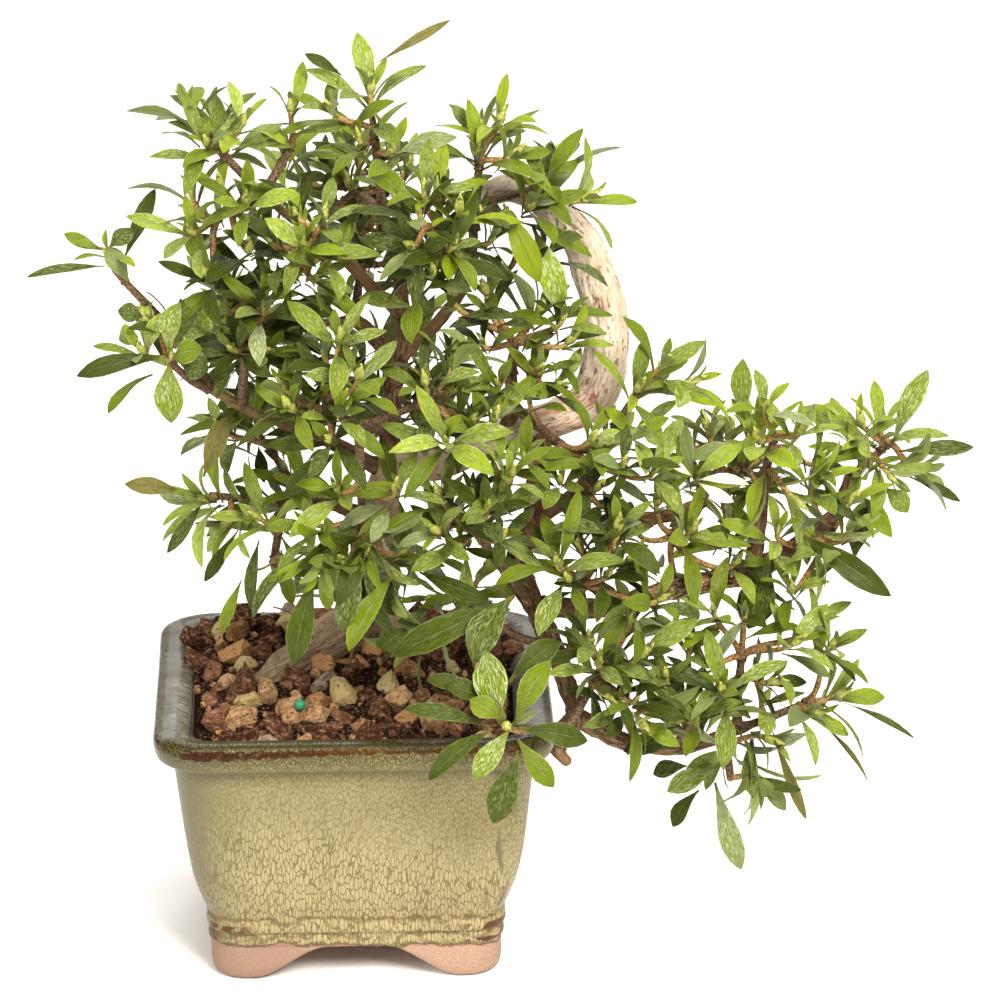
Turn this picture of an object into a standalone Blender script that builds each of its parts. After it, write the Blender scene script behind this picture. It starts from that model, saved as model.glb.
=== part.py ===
"""Satsuki azalea grown as a bonsai, standing in its square glazed pot.

Lengths are in millimetres until a mesh is made.  The plant is drawn from the middle of the pot: the
front of the tree looks along -Y, and heights are counted from just above the feet's undersides.  The
whole is then moved so that it stands on z = 0 with the origin under the middle of its box.
"""
import math
import random

import bmesh
import bpy
from mathutils import Matrix, Vector
from mathutils.bvhtree import BVHTree

MM = 0.001
GAP = 0.3                       # clear space left between pieces that touch
FOOT_BOTTOM = -2.5
MODEL_ORIGIN = (56.5, -3.5, FOOT_BOTTOM)

# ---- pot -------------------------------------------------------------------------------------
POT_DEPTH_RATIO = 0.955         # the pot is a little shallower than it is wide
POT_CORNER_STEPS = 3
ARCH_LEVEL = 13.0               # top of the arches between the feet
FLOOR_LEVEL = 23.0
RIM_LEVEL = 101.5
# level, half width and corner radius, up the outside, over the rim and down the inside
POT_OUTSIDE = [
    (FOOT_BOTTOM, 55.0, 13.0), (ARCH_LEVEL, 56.0, 13.0), (17.5, 57.0, 13.0), (20.5, 55.8, 13.0),
    (23.0, 57.2, 13.0), (26.5, 56.8, 13.0), (31.0, 59.2, 14.0), (40.0, 62.0, 15.0),
    (55.0, 64.4, 16.0), (87.5, 68.2, 18.0), (90.0, 68.8, 18.0),
    (91.5, 74.6, 21.0), (97.0, 76.0, 22.0), (100.4, 75.0, 21.0), (RIM_LEVEL, 72.0, 19.0)]
POT_INSIDE = [
    (RIM_LEVEL, 66.5, 14.0), (99.5, 62.2, 11.0), (95.0, 60.6, 10.0),
    (36.0, 54.0, 9.0), (FLOOR_LEVEL, 47.0, 9.0)]
ARCH_HALF_BOTTOM = 31.0         # the gap between two feet, at the table and at its top
ARCH_HALF_TOP = 13.0

# ---- soil ------------------------------------------------------------------------------------
SOIL_FRONT = 95.5
SOIL_BACK = 109.5
SOIL_PAD = 106.2                # level seat under the trunk and its surface root
SOIL_HEAP = 1.5                 # chips heaped against the wood, above its seat
SOIL_EDGE_DROP = 3.0
SOIL_LUMP = 1.1
SOIL_RINGS = 5
SOIL_SIDE_STEPS = 3

# ---- trunk: x, y, z and radius of the wood -----------------------------------------------------
TRUNK_FOOT = SOIL_PAD + GAP
TRUNK_SIDES = 8
TRUNK_STEPS = 2                 # rings from one point of the line to the next
TRUNK_LINE = [
    (8, 38, 103, 11.6), (9, 38, 112, 10.2), (10, 37, 122, 7.9), (11, 33, 146, 6.9), (13, 26, 170, 6.6),
    (21, 19, 185, 6.4), (33, 14, 183, 5.8), (47, 10, 190, 5.4), (63, 9, 199, 5.8), (80, 11, 203, 7.2),
    (93, 15, 210, 8.3), (98, 19, 228, 8.8), (96, 23, 248, 8.4), (88, 26, 269, 7.1), (75, 26, 284, 6.2),
    (61, 22, 291, 5.4), (49, 16, 288, 4.4)]
TRUNK_SECTIONS = {              # first and last point of the line in each piece
    "trunk_base": (0, 4), "trunk_cross": (4, 9), "trunk_arch": (9, 13), "trunk_end": (13, 16)}
ROOTS = [
    [(8, 38, 109, 10.0), (-7, 24, 108, 8.0), (-21, 9, 106.5, 6.2), (-37, -13, 105, 3.4)],
    [(9, 38, 108, 8.5), (20, 27, 106.5, 5.6), (28, 16, 104.5, 3.4)]]

# ---- boughs: the limb each one grows from is the one it starts inside --------------------------
BOUGH_SIDES = 6
BOUGH_STEPS = 2
BOUGHS = {
    "cascade": [(72, 9, 200, 4.8), (72, 2, 185, 4.4), (69, -6, 166, 4.5), (63, -14, 152, 4.8),
                (71, -20, 134, 4.3), (79, -28, 116, 3.9), (84, -34, 98, 3.5), (81, -38, 83, 3.0)],
    "bough_leader": [(15, 23, 181, 4.8), (16, 17, 208, 4.4), (20, 11, 235, 4.0), (19, 7, 263, 3.4),
                     (13, 5, 287, 2.8)],
    "bough_top_left": [(20, 10, 244, 3.2), (0, 4, 267, 2.8), (-18, 0, 284, 2.5), (-32, -2, 296, 2.2)],
    "bough_top_right": [(20, 12, 228, 3.5), (34, 8, 243, 3.0), (45, 6, 260, 2.7), (47, 4, 280, 2.3)],
    "bough_left": [(14, 25, 176, 3.7), (-12, 11, 196, 3.3), (-36, 2, 209, 2.8), (-54, -2, 221, 2.4)],
    "bough_low_left": [(11, 33, 150, 3.5), (-6, 15, 167, 3.0), (-26, 0, 173, 2.5)],
    "bough_front": [(16, 18, 198, 3.5), (9, -6, 206, 3.0), (3, -24, 212, 2.5)],
    "bough_back": [(18, 14, 218, 3.5), (13, 38, 224, 3.0), (2, 54, 229, 2.5)],
    "bough_inner": [(60, 10, 197, 3.3), (61, 2, 213, 2.8), (61, -4, 226, 2.4)],
    "bough_right_up": [(69, -6, 167, 3.3), (86, -10, 180, 2.9), (94, -12, 194, 2.5), (100, -12, 206, 2.2)],
    "bough_right_mid": [(66, -9, 160, 3.5), (95, -2, 164, 3.1), (118, 4, 164, 2.7), (134, 8, 168, 2.3)],
    "bough_lichen": [(69, -19, 137, 4.2), (95, -19, 136, 4.0), (125, -12, 141, 4.2), (149, -6, 144, 4.1),
                     (168, 0, 151, 3.7), (186, 6, 163, 3.2), (192, 8, 178, 2.7)],
    "bough_right_high": [(153, -5, 145, 3.5), (156, -3, 163, 3.0), (158, 0, 182, 2.5)],
    "bough_low_right": [(84, -34, 98, 3.7), (104, -28, 84, 3.3), (128, -21, 79, 2.9), (148, -16, 84, 2.4)],
}

# ---- masses: the limb that carries it, where on that limb (1 is its tip), the middle of its space,
# ---- the half widths of that space, and how many leafy shoots it has ----------------------------
MASSES = {
    "mass_top_tip": ("bough_leader", 1.0, (9, 3, 329), (28, 25, 35), 4),
    "mass_top_back": ("bough_leader", 1.0, (0, 44, 287), (30, 28, 29), 3),
    "mass_top_left": ("bough_top_left", 1.0, (-51, -4, 318), (33, 25, 28), 3),
    "mass_top_centre": ("bough_top_left", 1.0, (-18, 6, 318), (26, 24, 25), 2),
    "mass_left_shoulder": ("bough_top_left", 1.0, (-54, -10, 287), (29, 25, 28), 3),
    "mass_upper_left": ("bough_top_left", 0.55, (-16, -22, 281), (32, 24, 28), 4),
    "mass_top_right": ("bough_top_right", 1.0, (50, 6, 314), (29, 26, 30), 3),
    "mass_crown_front": ("bough_top_right", 0.8, (34, -14, 286), (29, 24, 30), 4),
    "mass_arch_tip": ("trunk_end", 1.0, (76, 10, 295), (33, 23, 22), 3),
    "mass_arch_leaves": ("trunk_end", 0.9, (68, -2, 271), (21, 16, 29), 2),
    "mass_far_left": ("bough_left", 1.0, (-95, -8, 280), (35, 23, 25), 3),
    "mass_left_whorl": ("bough_left", 1.0, (-72, -14, 238), (36, 25, 32), 4),
    "mass_left_inner": ("bough_left", 0.75, (-38, -12, 249), (29, 25, 29), 3),
    "mass_left_low": ("bough_low_left", 1.0, (-60, -4, 179), (34, 25, 33), 3),
    "mass_low_left": ("bough_low_left", 1.0, (-31, -16, 149), (30, 25, 31), 4),
    "mass_mid_left": ("bough_low_left", 0.8, (-34, 26, 192), (32, 28, 29), 4),
    "mass_low_centre": ("bough_front", 1.0, (4, -38, 169), (36, 28, 33), 4),
    "mass_centre_front": ("bough_front", 1.0, (-10, -40, 226), (31, 24, 33), 4),
    "mass_centre": ("bough_front", 0.9, (33, -32, 226), (28, 24, 30), 3),
    "mass_back_upper": ("bough_back", 1.0, (6, 72, 252), (33, 28, 32), 3),
    "mass_back_left": ("bough_back", 1.0, (-38, 62, 222), (32, 26, 32), 3),
    "mass_back_low": ("bough_back", 1.0, (24, 72, 196), (33, 26, 31), 3),
    "mass_inner_arch": ("bough_inner", 1.0, (62, -10, 242), (38, 24, 32), 4),
    "mass_centre_right": ("bough_inner", 0.45, (85, -26, 199), (40, 23, 25), 4),
    "mass_shoot_front": ("cascade", 0.4, (42, -44, 182), (31, 23, 30), 4),
    "mass_trunk_leaves": ("cascade", 0.5, (36, -16, 141), (32, 22, 21), 2),
    "mass_right_of_arch": ("bough_right_up", 1.0, (112, -10, 225), (31, 23, 22), 3),
    "mass_right_mid": ("bough_right_mid", 1.0, (135, 10, 188), (26, 23, 23), 3),
    "mass_back_right": ("bough_right_mid", 1.0, (146, 44, 172), (32, 26, 30), 3),
    "mass_mid_right": ("bough_right_mid", 0.85, (122, -2, 156), (30, 22, 21), 3),
    "mass_right_high": ("bough_right_high", 1.0, (162, -4, 203), (34, 26, 31), 4),
    "mass_far_right": ("bough_lichen", 1.0, (211, 10, 195), (36, 28, 31), 4),
    "mass_right_low": ("bough_lichen", 0.85, (181, -8, 155), (33, 22, 24), 3),
    "mass_mid_cluster": ("cascade", 0.55, (88, -42, 163), (32, 24, 26), 4),
    "mass_low_cluster": ("cascade", 0.85, (98, -46, 130), (29, 23, 26), 4),
    "mass_low_right_top": ("bough_low_right", 1.0, (149, -20, 125), (26, 23, 28), 3),
    "mass_low_right_far": ("bough_low_right", 1.0, (183, -16, 98), (37, 25, 31), 4),
    "mass_low_right": ("bough_low_right", 0.6, (131, -36, 99), (32, 24, 23), 4),
    "mass_low_tip": ("bough_low_right", 0.9, (146, -20, 60), (34, 23, 34), 3),
    "mass_front_whorl": ("cascade", 0.72, (57, -86, 113), (36, 22, 34), 4),
}

# ---- shoots and leaves -------------------------------------------------------------------------
STEM_RADIUS = 1.5               # three-sided stem of a mass, at its bough
SHOOT_RADIUS = 1.25             # the same at a shoot's tip
STEM_STEPS = 3
SHOOT_STEPS = 2
STEM_SPREAD = math.radians(75)  # least angle between two stems on one bough tip
LEAVES_PER_SHOOT = 4
LEAF_LENGTH = (24.0, 32.0)
LEAF_WIDTH = 0.48               # of its length
LEAF_THICKNESS = 1.0
LEAF_ROOT_SUNK = 0.5            # how far past a shoot's axis a leaf begins
LEAF_SPACING = 2.1              # between the roots of two leaves along their shoot
LEAF_SHORTEST = 0.62            # a leaf that leaves its space is shortened this far, then skipped
LEAF_TURN = math.radians(137.5)
LEAF_TRIES = (0.0, 22.0, -22.0, 44.0, -44.0)    # degrees a leaf is turned round its shoot to find room
SHOOT_REACH = 0.46              # how far out in its space a shoot ends
CLEARANCE = 0.5                 # between a leaf and anything that is not its own mass
FACES_KEPT = 0.8                # of a fused mass, once its slivers are collapsed


# ---- meshes ------------------------------------------------------------------------------------
def new_object(name, points, faces):
    """An object from points in millimetres, in the scene's collection."""
    mesh = bpy.data.meshes.new(name)
    mesh.from_pydata([tuple(c * MM for c in p) for p in points], [], faces)
    mesh.update()
    piece = bpy.data.objects.new(name, mesh)
    bpy.context.scene.collection.objects.link(piece)
    return piece


def remove_object(piece):
    mesh = piece.data
    bpy.data.objects.remove(piece, do_unlink=True)
    bpy.data.meshes.remove(mesh)


def apply_modifiers(piece):
    bpy.context.view_layer.update()
    evaluated = piece.evaluated_get(bpy.context.evaluated_depsgraph_get())
    result = bpy.data.meshes.new_from_object(evaluated)
    piece.modifiers.clear()
    before = piece.data
    piece.data = result
    bpy.data.meshes.remove(before)


def boolean(piece, others, operation, solver="EXACT"):
    """Join a piece with others, or cut them from it, in one step; the others are removed."""
    group = bpy.data.collections.new("operands")
    for other in others:
        group.objects.link(other)
    step = piece.modifiers.new("boolean", "BOOLEAN")
    step.operation = operation
    step.solver = solver
    step.operand_type = "COLLECTION"
    step.collection = group
    apply_modifiers(piece)
    for other in others:
        remove_object(other)
    bpy.data.collections.remove(group)


def merge_small_faces(piece):
    """Collapse the slivers that a union leaves where leaves meet their twigs."""
    step = piece.modifiers.new("fewer_faces", "DECIMATE")
    step.ratio = FACES_KEPT
    apply_modifiers(piece)


def shell_volume(faces):
    total = 0.0
    for face in faces:
        a = face.verts[0].co
        for b, c in zip(face.verts[1:], face.verts[2:]):
            total += a.dot(b.co.cross(c.co)) / 6.0
    return total


def split_faces(work):
    """Make triangles of all faces, with no two faces split along the same diagonal."""
    work.verts.index_update()
    work.verts.ensure_lookup_table()
    trial = work.copy()
    bmesh.ops.triangulate(trial, faces=trial.faces)
    twice = [[work.verts[v.index] for v in edge.verts] for edge in trial.edges if len(edge.link_faces) > 2]
    trial.free()
    for ends in twice:
        both = [face for face in ends[0].link_faces if ends[1] in face.verts]
        bmesh.ops.poke(work, faces=[min(both, key=lambda face: face.calc_area())])
    bmesh.ops.triangulate(work, faces=work.faces)


def keep_main_body(piece):
    """Drop loose scraps and fill sealed hollows: only the largest shell stays."""
    work = bmesh.new()
    work.from_mesh(piece.data)
    bmesh.ops.remove_doubles(work, verts=work.verts, dist=1e-7)
    bmesh.ops.dissolve_degenerate(work, edges=work.edges, dist=1e-7)
    unseen = set(work.faces)
    shells = []
    while unseen:
        stack = [unseen.pop()]
        shell = []
        while stack:
            face = stack.pop()
            shell.append(face)
            for edge in face.edges:
                for other in edge.link_faces:
                    if other in unseen:
                        unseen.remove(other)
                        stack.append(other)
        shells.append(shell)
    shells.sort(key=shell_volume)
    scraps = [face for shell in shells[:-1] for face in shell]
    bmesh.ops.delete(work, geom=scraps, context="FACES")
    split_faces(work)
    closed = all(edge.is_manifold for edge in work.edges)
    work.to_mesh(piece.data)
    work.free()
    return closed


def tree_of(points, faces):
    return BVHTree.FromPolygons(points, faces)


def tree_of_object(piece):
    points = [v.co / MM for v in piece.data.vertices]
    faces = [tuple(p.vertices) for p in piece.data.polygons]
    return tree_of(points, faces)


# ---- limbs -------------------------------------------------------------------------------------
def smooth_line(points, steps):
    """Catmull-Rom line through points of x, y, z and radius."""
    padded = [points[0]] + list(points) + [points[-1]]
    line = []
    for i in range(1, len(padded) - 2):
        p0, p1, p2, p3 = padded[i - 1], padded[i], padded[i + 1], padded[i + 2]
        for s in range(steps):
            t = s / steps
            line.append(tuple(
                0.5 * (2 * b + (c - a) * t + (2 * a - 5 * b + 4 * c - d) * t * t
                       + (3 * b - a - 3 * c + d) * t ** 3)
                for a, b, c, d in zip(p0, p1, p2, p3)))
    line.append(tuple(float(c) for c in points[-1]))
    return line


def line_tangents(line):
    middles = [Vector(p[:3]) for p in line]
    last = len(line) - 1
    return [(middles[min(i + 1, last)] - middles[max(i - 1, 0)]).normalized() for i in range(last + 1)]


def tube_mesh(line, sides, extra=0.0, round_end=False, tangents=None, start_gap=0.0):
    """Points and faces of a closed tapering tube along a line."""
    tangents = tangents or line_tangents(line)
    rings = [(Vector(p[:3]), d, p[3] + extra) for p, d in zip(line, tangents)]
    middle, ahead, radius = rings[0]
    rings[0] = (middle + ahead * start_gap, ahead, radius)
    middle, ahead, radius = rings[-1]
    if extra:
        middle = middle + ahead * extra
        rings[-1] = (middle, ahead, radius)
    if round_end:
        rings.append((middle + ahead * radius * 0.6, ahead, radius * 0.75))
    side = rings[0][1].orthogonal().normalized()
    points = []
    faces = []
    for middle, ahead, radius in rings:
        side = (side - ahead * side.dot(ahead)).normalized()
        across = ahead.cross(side)
        for k in range(sides):
            turn = 2 * math.pi * k / sides
            points.append(middle + (side * math.cos(turn) + across * math.sin(turn)) * radius)
    for j in range(len(rings) - 1):
        for k in range(sides):
            a = j * sides + k
            b = j * sides + (k + 1) % sides
            faces.append((a, b, b + sides, a + sides))
    faces.append(tuple(reversed(range(sides))))
    first = (len(rings) - 1) * sides
    if round_end:
        middle, ahead, radius = rings[-1]
        points.append(middle + ahead * radius * 0.4)
        pole = len(points) - 1
        faces.extend((first + k, first + (k + 1) % sides, pole) for k in range(sides))
    else:
        faces.append(tuple(range(first, first + sides)))
    return points, faces


class Limb:
    """A trunk piece or bough: its line, and how to make it again a little thicker as a cutter."""

    def __init__(self, name, line, sides, round_end, tangents=None, start_gap=0.0):
        self.name = name
        self.line = line
        self.sides = sides
        self.round_end = round_end
        self.tangents = tangents or line_tangents(line)
        self.start_gap = start_gap
        self.piece = None
        self.tree = None

    def make(self, name, extra=0.0):
        points, faces = tube_mesh(
            self.line, self.sides, extra, self.round_end, self.tangents, self.start_gap)
        return new_object(name, points, faces)

    def at(self, share):
        index = share * (len(self.line) - 1)
        low = min(int(index), len(self.line) - 2)
        here, there = self.line[low], self.line[low + 1]
        return Vector([a + (b - a) * (index - low) for a, b in zip(here, there)][:3])

    def heading(self, share):
        return self.tangents[round(share * (len(self.line) - 1))]


def trunk_foot(name, extra=0.0):
    """The foot of the trunk fused with its surface roots, still whole below the soil."""
    line = smooth_line(TRUNK_LINE, TRUNK_STEPS)
    end = TRUNK_SECTIONS["trunk_base"][1] * TRUNK_STEPS + 1
    foot = new_object(name, *tube_mesh(line[:end], TRUNK_SIDES, extra, False, line_tangents(line)[:end]))
    flares = [new_object("root", *tube_mesh(smooth_line(root, 2), TRUNK_SIDES, extra, True))
              for root in ROOTS]
    boolean(foot, flares, "UNION")
    return foot


def make_trunk():
    line = smooth_line(TRUNK_LINE, TRUNK_STEPS)
    tangents = line_tangents(line)
    limbs = {}
    for name, (first, last) in TRUNK_SECTIONS.items():
        a, b = first * TRUNK_STEPS, last * TRUNK_STEPS
        limb = Limb(name, line[a:b + 1], TRUNK_SIDES, name == "trunk_end", tangents[a:b + 1],
                    GAP if first else 0.0)
        limb.piece = limb.make(name)
        limbs[name] = limb
    base = limbs["trunk_base"]
    remove_object(base.piece)
    base.piece = trunk_foot("trunk_base")
    boolean(base.piece, [block("ground_cut", (-80, -80, 60), (90, 90, TRUNK_FOOT))], "DIFFERENCE")
    for limb in limbs.values():
        keep_main_body(limb.piece)
        limb.tree = tree_of_object(limb.piece)
    return limbs


def make_boughs(limbs):
    for name, points in BOUGHS.items():
        limb = Limb(name, smooth_line(points, BOUGH_STEPS), BOUGH_SIDES, True)
        limb.piece = limb.make(name)
        own_tree = tree_of_object(limb.piece)
        cutters = [other.make("cutter", GAP) for other in limbs.values() if other.tree.overlap(own_tree)]
        for cutter in cutters:
            boolean(limb.piece, [cutter], "DIFFERENCE")
        keep_main_body(limb.piece)
        limb.tree = tree_of_object(limb.piece)
        limbs[name] = limb


def block(name, low, high):
    points = [(x, y, z) for x in (low[0], high[0]) for y in (low[1], high[1]) for z in (low[2], high[2])]
    faces = [(0, 1, 3, 2), (4, 6, 7, 5), (0, 4, 5, 1), (2, 3, 7, 6), (0, 2, 6, 4), (1, 5, 7, 3)]
    return new_object(name, points, faces)


# ---- pot and soil ------------------------------------------------------------------------------
def rounded_ring(level, half, corner, side_steps=1):
    """A level ring of the pot: a square with rounded corners."""
    ring = []
    straight = half - corner
    for quarter in range(4):
        turn = quarter * math.pi / 2
        quarter_ring = []
        for k in range(POT_CORNER_STEPS + 1):
            angle = k * math.pi / 2 / POT_CORNER_STEPS
            quarter_ring.append((straight + corner * math.cos(angle), straight + corner * math.sin(angle)))
        for k in range(1, side_steps):
            quarter_ring.append((straight - 2 * straight * k / side_steps, half))
        for x, y in quarter_ring:
            ring.append((x * math.cos(turn) - y * math.sin(turn),
                         (x * math.sin(turn) + y * math.cos(turn)) * POT_DEPTH_RATIO, level))
    return ring


def stack_rings(rings):
    """Points and faces of a closed body from a stack of rings, bottom ring first."""
    count = len(rings[0])
    points = [p for ring in rings for p in ring]
    faces = [tuple(reversed(range(count)))]
    for j in range(len(rings) - 1):
        for k in range(count):
            a = j * count + k
            b = j * count + (k + 1) % count
            faces.append((a, b, b + count, a + count))
    faces.append(tuple(range(len(points) - count, len(points))))
    return points, faces


def make_pot():
    rings = [rounded_ring(*row) for row in POT_OUTSIDE + POT_INSIDE]
    pot = new_object("pot", *stack_rings(rings))
    reach = 90.0
    tunnels = []
    for along_x in (True, False):
        outline = [(-ARCH_HALF_BOTTOM, FOOT_BOTTOM - 1.0), (ARCH_HALF_BOTTOM, FOOT_BOTTOM - 1.0),
                   (ARCH_HALF_TOP, ARCH_LEVEL - 1.5), (0.0, ARCH_LEVEL), (-ARCH_HALF_TOP, ARCH_LEVEL - 1.5)]
        ends = []
        for side in (-reach, reach):
            ends.append([(side, u, v) if along_x else (-u, side, v) for u, v in outline])
        points, faces = stack_rings([list(ring) for ring in ends])
        tunnel = new_object("foot_arch", points, faces)
        if shell_is_inward(tunnel):
            tunnel.data.flip_normals()
        tunnels.append(tunnel)
    for tunnel in tunnels:
        boolean(pot, [tunnel], "DIFFERENCE")
    keep_main_body(pot)
    return pot


def shell_is_inward(piece):
    work = bmesh.new()
    work.from_mesh(piece.data)
    inward = shell_volume(work.faces) < 0
    work.free()
    return inward


def smoothstep(low, high, value):
    t = min(max((value - low) / (high - low), 0.0), 1.0)
    return t * t * (3 - 2 * t)


def root_distance(x, y):
    """Distance in plan from the line of the trunk's foot and its surface roots."""
    nearest = 1e9
    for root in ROOTS:
        for (ax, ay, _, ar), (bx, by, _, br) in zip(root, root[1:]):
            run = Vector((bx - ax, by - ay))
            t = min(max(((x - ax) * run.x + (y - ay) * run.y) / run.length_squared, 0.0), 1.0)
            here = Vector((ax, ay)) + run * t
            nearest = min(nearest, (Vector((x, y)) - here).length - (ar + (br - ar) * t))
    return nearest


def soil_level(x, y, edge):
    """Height of the chips: rising to the back, level under the wood, lower against the wall."""
    rise = SOIL_FRONT + (SOIL_BACK - SOIL_FRONT) * smoothstep(-58.0, 40.0, y)
    lumps = (math.sin(x * 0.31 + 1.7) * math.cos(y * 0.37 + 0.4)
             + 0.6 * math.sin(x * 0.83 + y * 0.59) + 0.5 * math.cos(x * 0.47 - y * 0.91 + 2.0))
    free = rise + SOIL_LUMP * lumps - SOIL_EDGE_DROP * edge
    heaped = SOIL_PAD + SOIL_HEAP
    return heaped + (free - heaped) * smoothstep(4.0, 10.0, root_distance(x, y))


def make_soil():
    rings = []
    inside = [row for row in reversed(POT_INSIDE) if row[0] < 96.0]
    for level, half, corner in inside:
        lift = GAP if level == FLOOR_LEVEL else 0.0
        rings.append(rounded_ring(level + lift, half - GAP * 1.2, corner, SOIL_SIDE_STEPS))
    top_level, top_half, top_corner = inside[-1]
    count = len(rings[0])
    for j in range(SOIL_RINGS):
        share = 1.0 - j / SOIL_RINGS
        ring = rounded_ring(0.0, (top_half - GAP * 1.2 - 0.4) * share, top_corner * share, SOIL_SIDE_STEPS)
        edge = smoothstep(0.8, 1.0, share)
        rings.append([(x, y, max(soil_level(x, y, edge), top_level + 0.3)) for x, y, _ in ring])
    points, faces = stack_rings(rings)
    faces.pop()
    points.append((0.0, 0.0, soil_level(0.0, 0.0, 0.0)))
    first = len(points) - 1 - count
    faces.extend((first + k, first + (k + 1) % count, len(points) - 1) for k in range(count))
    soil = new_object("soil", points, faces)
    seat = trunk_foot("seat", GAP)
    boolean(seat, [block("seat_cut", (-80, -80, 60), (90, 90, SOIL_PAD))], "DIFFERENCE")
    boolean(soil, [seat], "DIFFERENCE")
    keep_main_body(soil)
    return soil


# ---- masses of foliage -------------------------------------------------------------------------
def spread_stems(headings, back):
    """Turn the stems that share a bough tip apart, and keep them off the bough itself."""
    turned = [h.normalized() for h in headings]
    for _ in range(60):
        for i, first in enumerate(turned):
            for j in range(i):
                angle = first.angle(turned[j], 0.0)
                if angle < STEM_SPREAD:
                    push = (first - turned[j]).normalized() if angle > 0.01 else Vector((0, 0, 1))
                    turned[i] = first = (first + push * 0.06).normalized()
                    turned[j] = (turned[j] - push * 0.06).normalized()
            if first.angle(back, 0.0) < math.radians(80):
                turned[i] = (first - back * 0.08).normalized()
    return turned


def bezier(p0, p1, p2, p3, steps):
    line = []
    for s in range(steps + 1):
        t = s / steps
        line.append(p0 * (1 - t) ** 3 + p1 * 3 * t * (1 - t) ** 2 + p2 * 3 * t * t * (1 - t) + p3 * t ** 3)
    return line


def mass_stem(start, heading, centre):
    """The line of a mass's stem: off its bough along the heading, then to the heart of the space."""
    run = (centre - start).length
    heart = centre.lerp(start, 0.18)
    return bezier(start, start + heading * run * 0.3, heart.lerp(start, 0.3), heart, STEM_STEPS)


def mass_shoots(name, stem, centre, reach, count):
    """Lines of the leafy shoots, dealt round the space by the golden angle from a seeded start."""
    draw = random.Random(name)
    offset = draw.random() * 2 * math.pi
    back = (stem[0] - centre).normalized()
    lines = []
    for i in range(count):
        draw = random.Random(f"{name} shoot {i}")
        height = 1 - 2 * (i + 0.5) / count
        flat = math.sqrt(max(0.0, 1 - height * height))
        turn = offset + i * LEAF_TURN
        out = Vector((math.cos(turn) * flat, math.sin(turn) * flat, height * 0.8 + 0.15))
        if out.dot(back) > 0.35:
            out = out - back * (out.dot(back) + 0.1)
        out.normalize()
        share = SHOOT_REACH * draw.uniform(0.85, 1.15)
        tip = centre + Vector([o * r * share for o, r in zip(out, reach)])
        base = stem[-2].lerp(stem[-1], draw.uniform(0.1, 0.95))
        lift = (tip - base).length
        bend = base + (stem[-1] - stem[-2]).normalized() * lift * 0.35
        rise = Vector((out.x, out.y, out.z + 0.9)).normalized()
        lines.append(bezier(base, bend, tip - rise * lift * 0.35, tip, SHOOT_STEPS))
    return lines


def shoot_leaves(name, i, line, count):
    """Where each leaf of a shoot begins, where it points, which way it faces, and its length."""
    heading = (line[-1] - line[-2]).normalized()
    side = heading.orthogonal().normalized()
    across = heading.cross(side)
    leaves = []
    for k in range(count):
        draw = random.Random(f"{name} shoot {i} leaf {k}")
        turn = k * LEAF_TURN + draw.uniform(-0.25, 0.25)
        share = (k + 0.5) / count
        open_angle = math.radians(38 + 48 * share + draw.uniform(-9, 9))
        outward = side * math.cos(turn) + across * math.sin(turn)
        ahead = heading * math.cos(open_angle) + outward * math.sin(open_angle)
        ahead.z -= 0.10 + 0.22 * share
        ahead.normalize()
        face = (heading - ahead * heading.dot(ahead)).normalized()
        face = Matrix.Rotation(draw.uniform(-0.35, 0.35), 3, ahead) @ face
        root = line[-1] - heading * LEAF_SPACING * k
        length = draw.uniform(*LEAF_LENGTH)
        leaves.append((root, ahead, face, length))
    return heading, leaves


def leaf_mesh(root, ahead, face, length, thickness=LEAF_THICKNESS):
    """A leaf of eight faces, broadest before its middle and arched over."""
    side = ahead.cross(face)
    broad = root + ahead * length * 0.52 + face * length * 0.07
    half = side * length * LEAF_WIDTH * 0.5
    lift = face * thickness * 0.5
    tip = root + ahead * length - face * length * 0.04
    points = [root, tip, broad + half, broad - half, broad + lift, broad - lift]
    faces = [(0, 2, 4), (2, 1, 4), (1, 3, 4), (3, 0, 4), (2, 0, 5), (1, 2, 5), (3, 1, 5), (0, 3, 5)]
    return points, faces


def inside_space(point, centre, reach):
    return sum(((p - c) / r) ** 2 for p, c, r in zip(point, centre, reach)) <= 1.0


def fit_leaf(leaf, heading, centre, reach, obstacles, own):
    """The leaf turned or shortened to stay in its space and clear of the rest, or none."""
    root, ahead, face, full_length = leaf
    for turn in LEAF_TRIES:
        spin = Matrix.Rotation(math.radians(turn), 3, heading)
        along = spin @ ahead
        above = spin @ face
        length = full_length
        while length >= full_length * LEAF_SHORTEST:
            start = root - along * LEAF_ROOT_SUNK
            if inside_space(start + along * length, centre, reach):
                tree = tree_of(*leaf_mesh(start, along, above, length + CLEARANCE,
                                          LEAF_THICKNESS + 2 * CLEARANCE))
                outer = start + along * length * 0.2
                outer_tree = tree_of(*leaf_mesh(outer, along, above, length * 0.8))
                if not any(other.overlap(tree) for other in obstacles):
                    if not any(other.overlap(outer_tree) for other in own):
                        own.append(outer_tree)
                        return start, along, above, length
            length *= 0.9
    return None


def with_radius(line, thick, thin):
    last = len(line) - 1
    return [(*p, thick + (thin - thick) * i / last) for i, p in enumerate(line)]


def fuse(name, shapes, limbs, solver):
    """One body from a stem and all that grows on it, cut clear of the limbs it starts in."""
    piece = new_object(name, *shapes[0])
    boolean(piece, [new_object("grown", *shape) for shape in shapes[1:]], "UNION", solver)
    tree = tree_of_object(piece)
    for limb in limbs:
        if limb.tree.overlap(tree):
            boolean(piece, [limb.make("cutter", GAP)], "DIFFERENCE", solver)
    keep_main_body(piece)
    merge_small_faces(piece)
    return piece, keep_main_body(piece)


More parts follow.
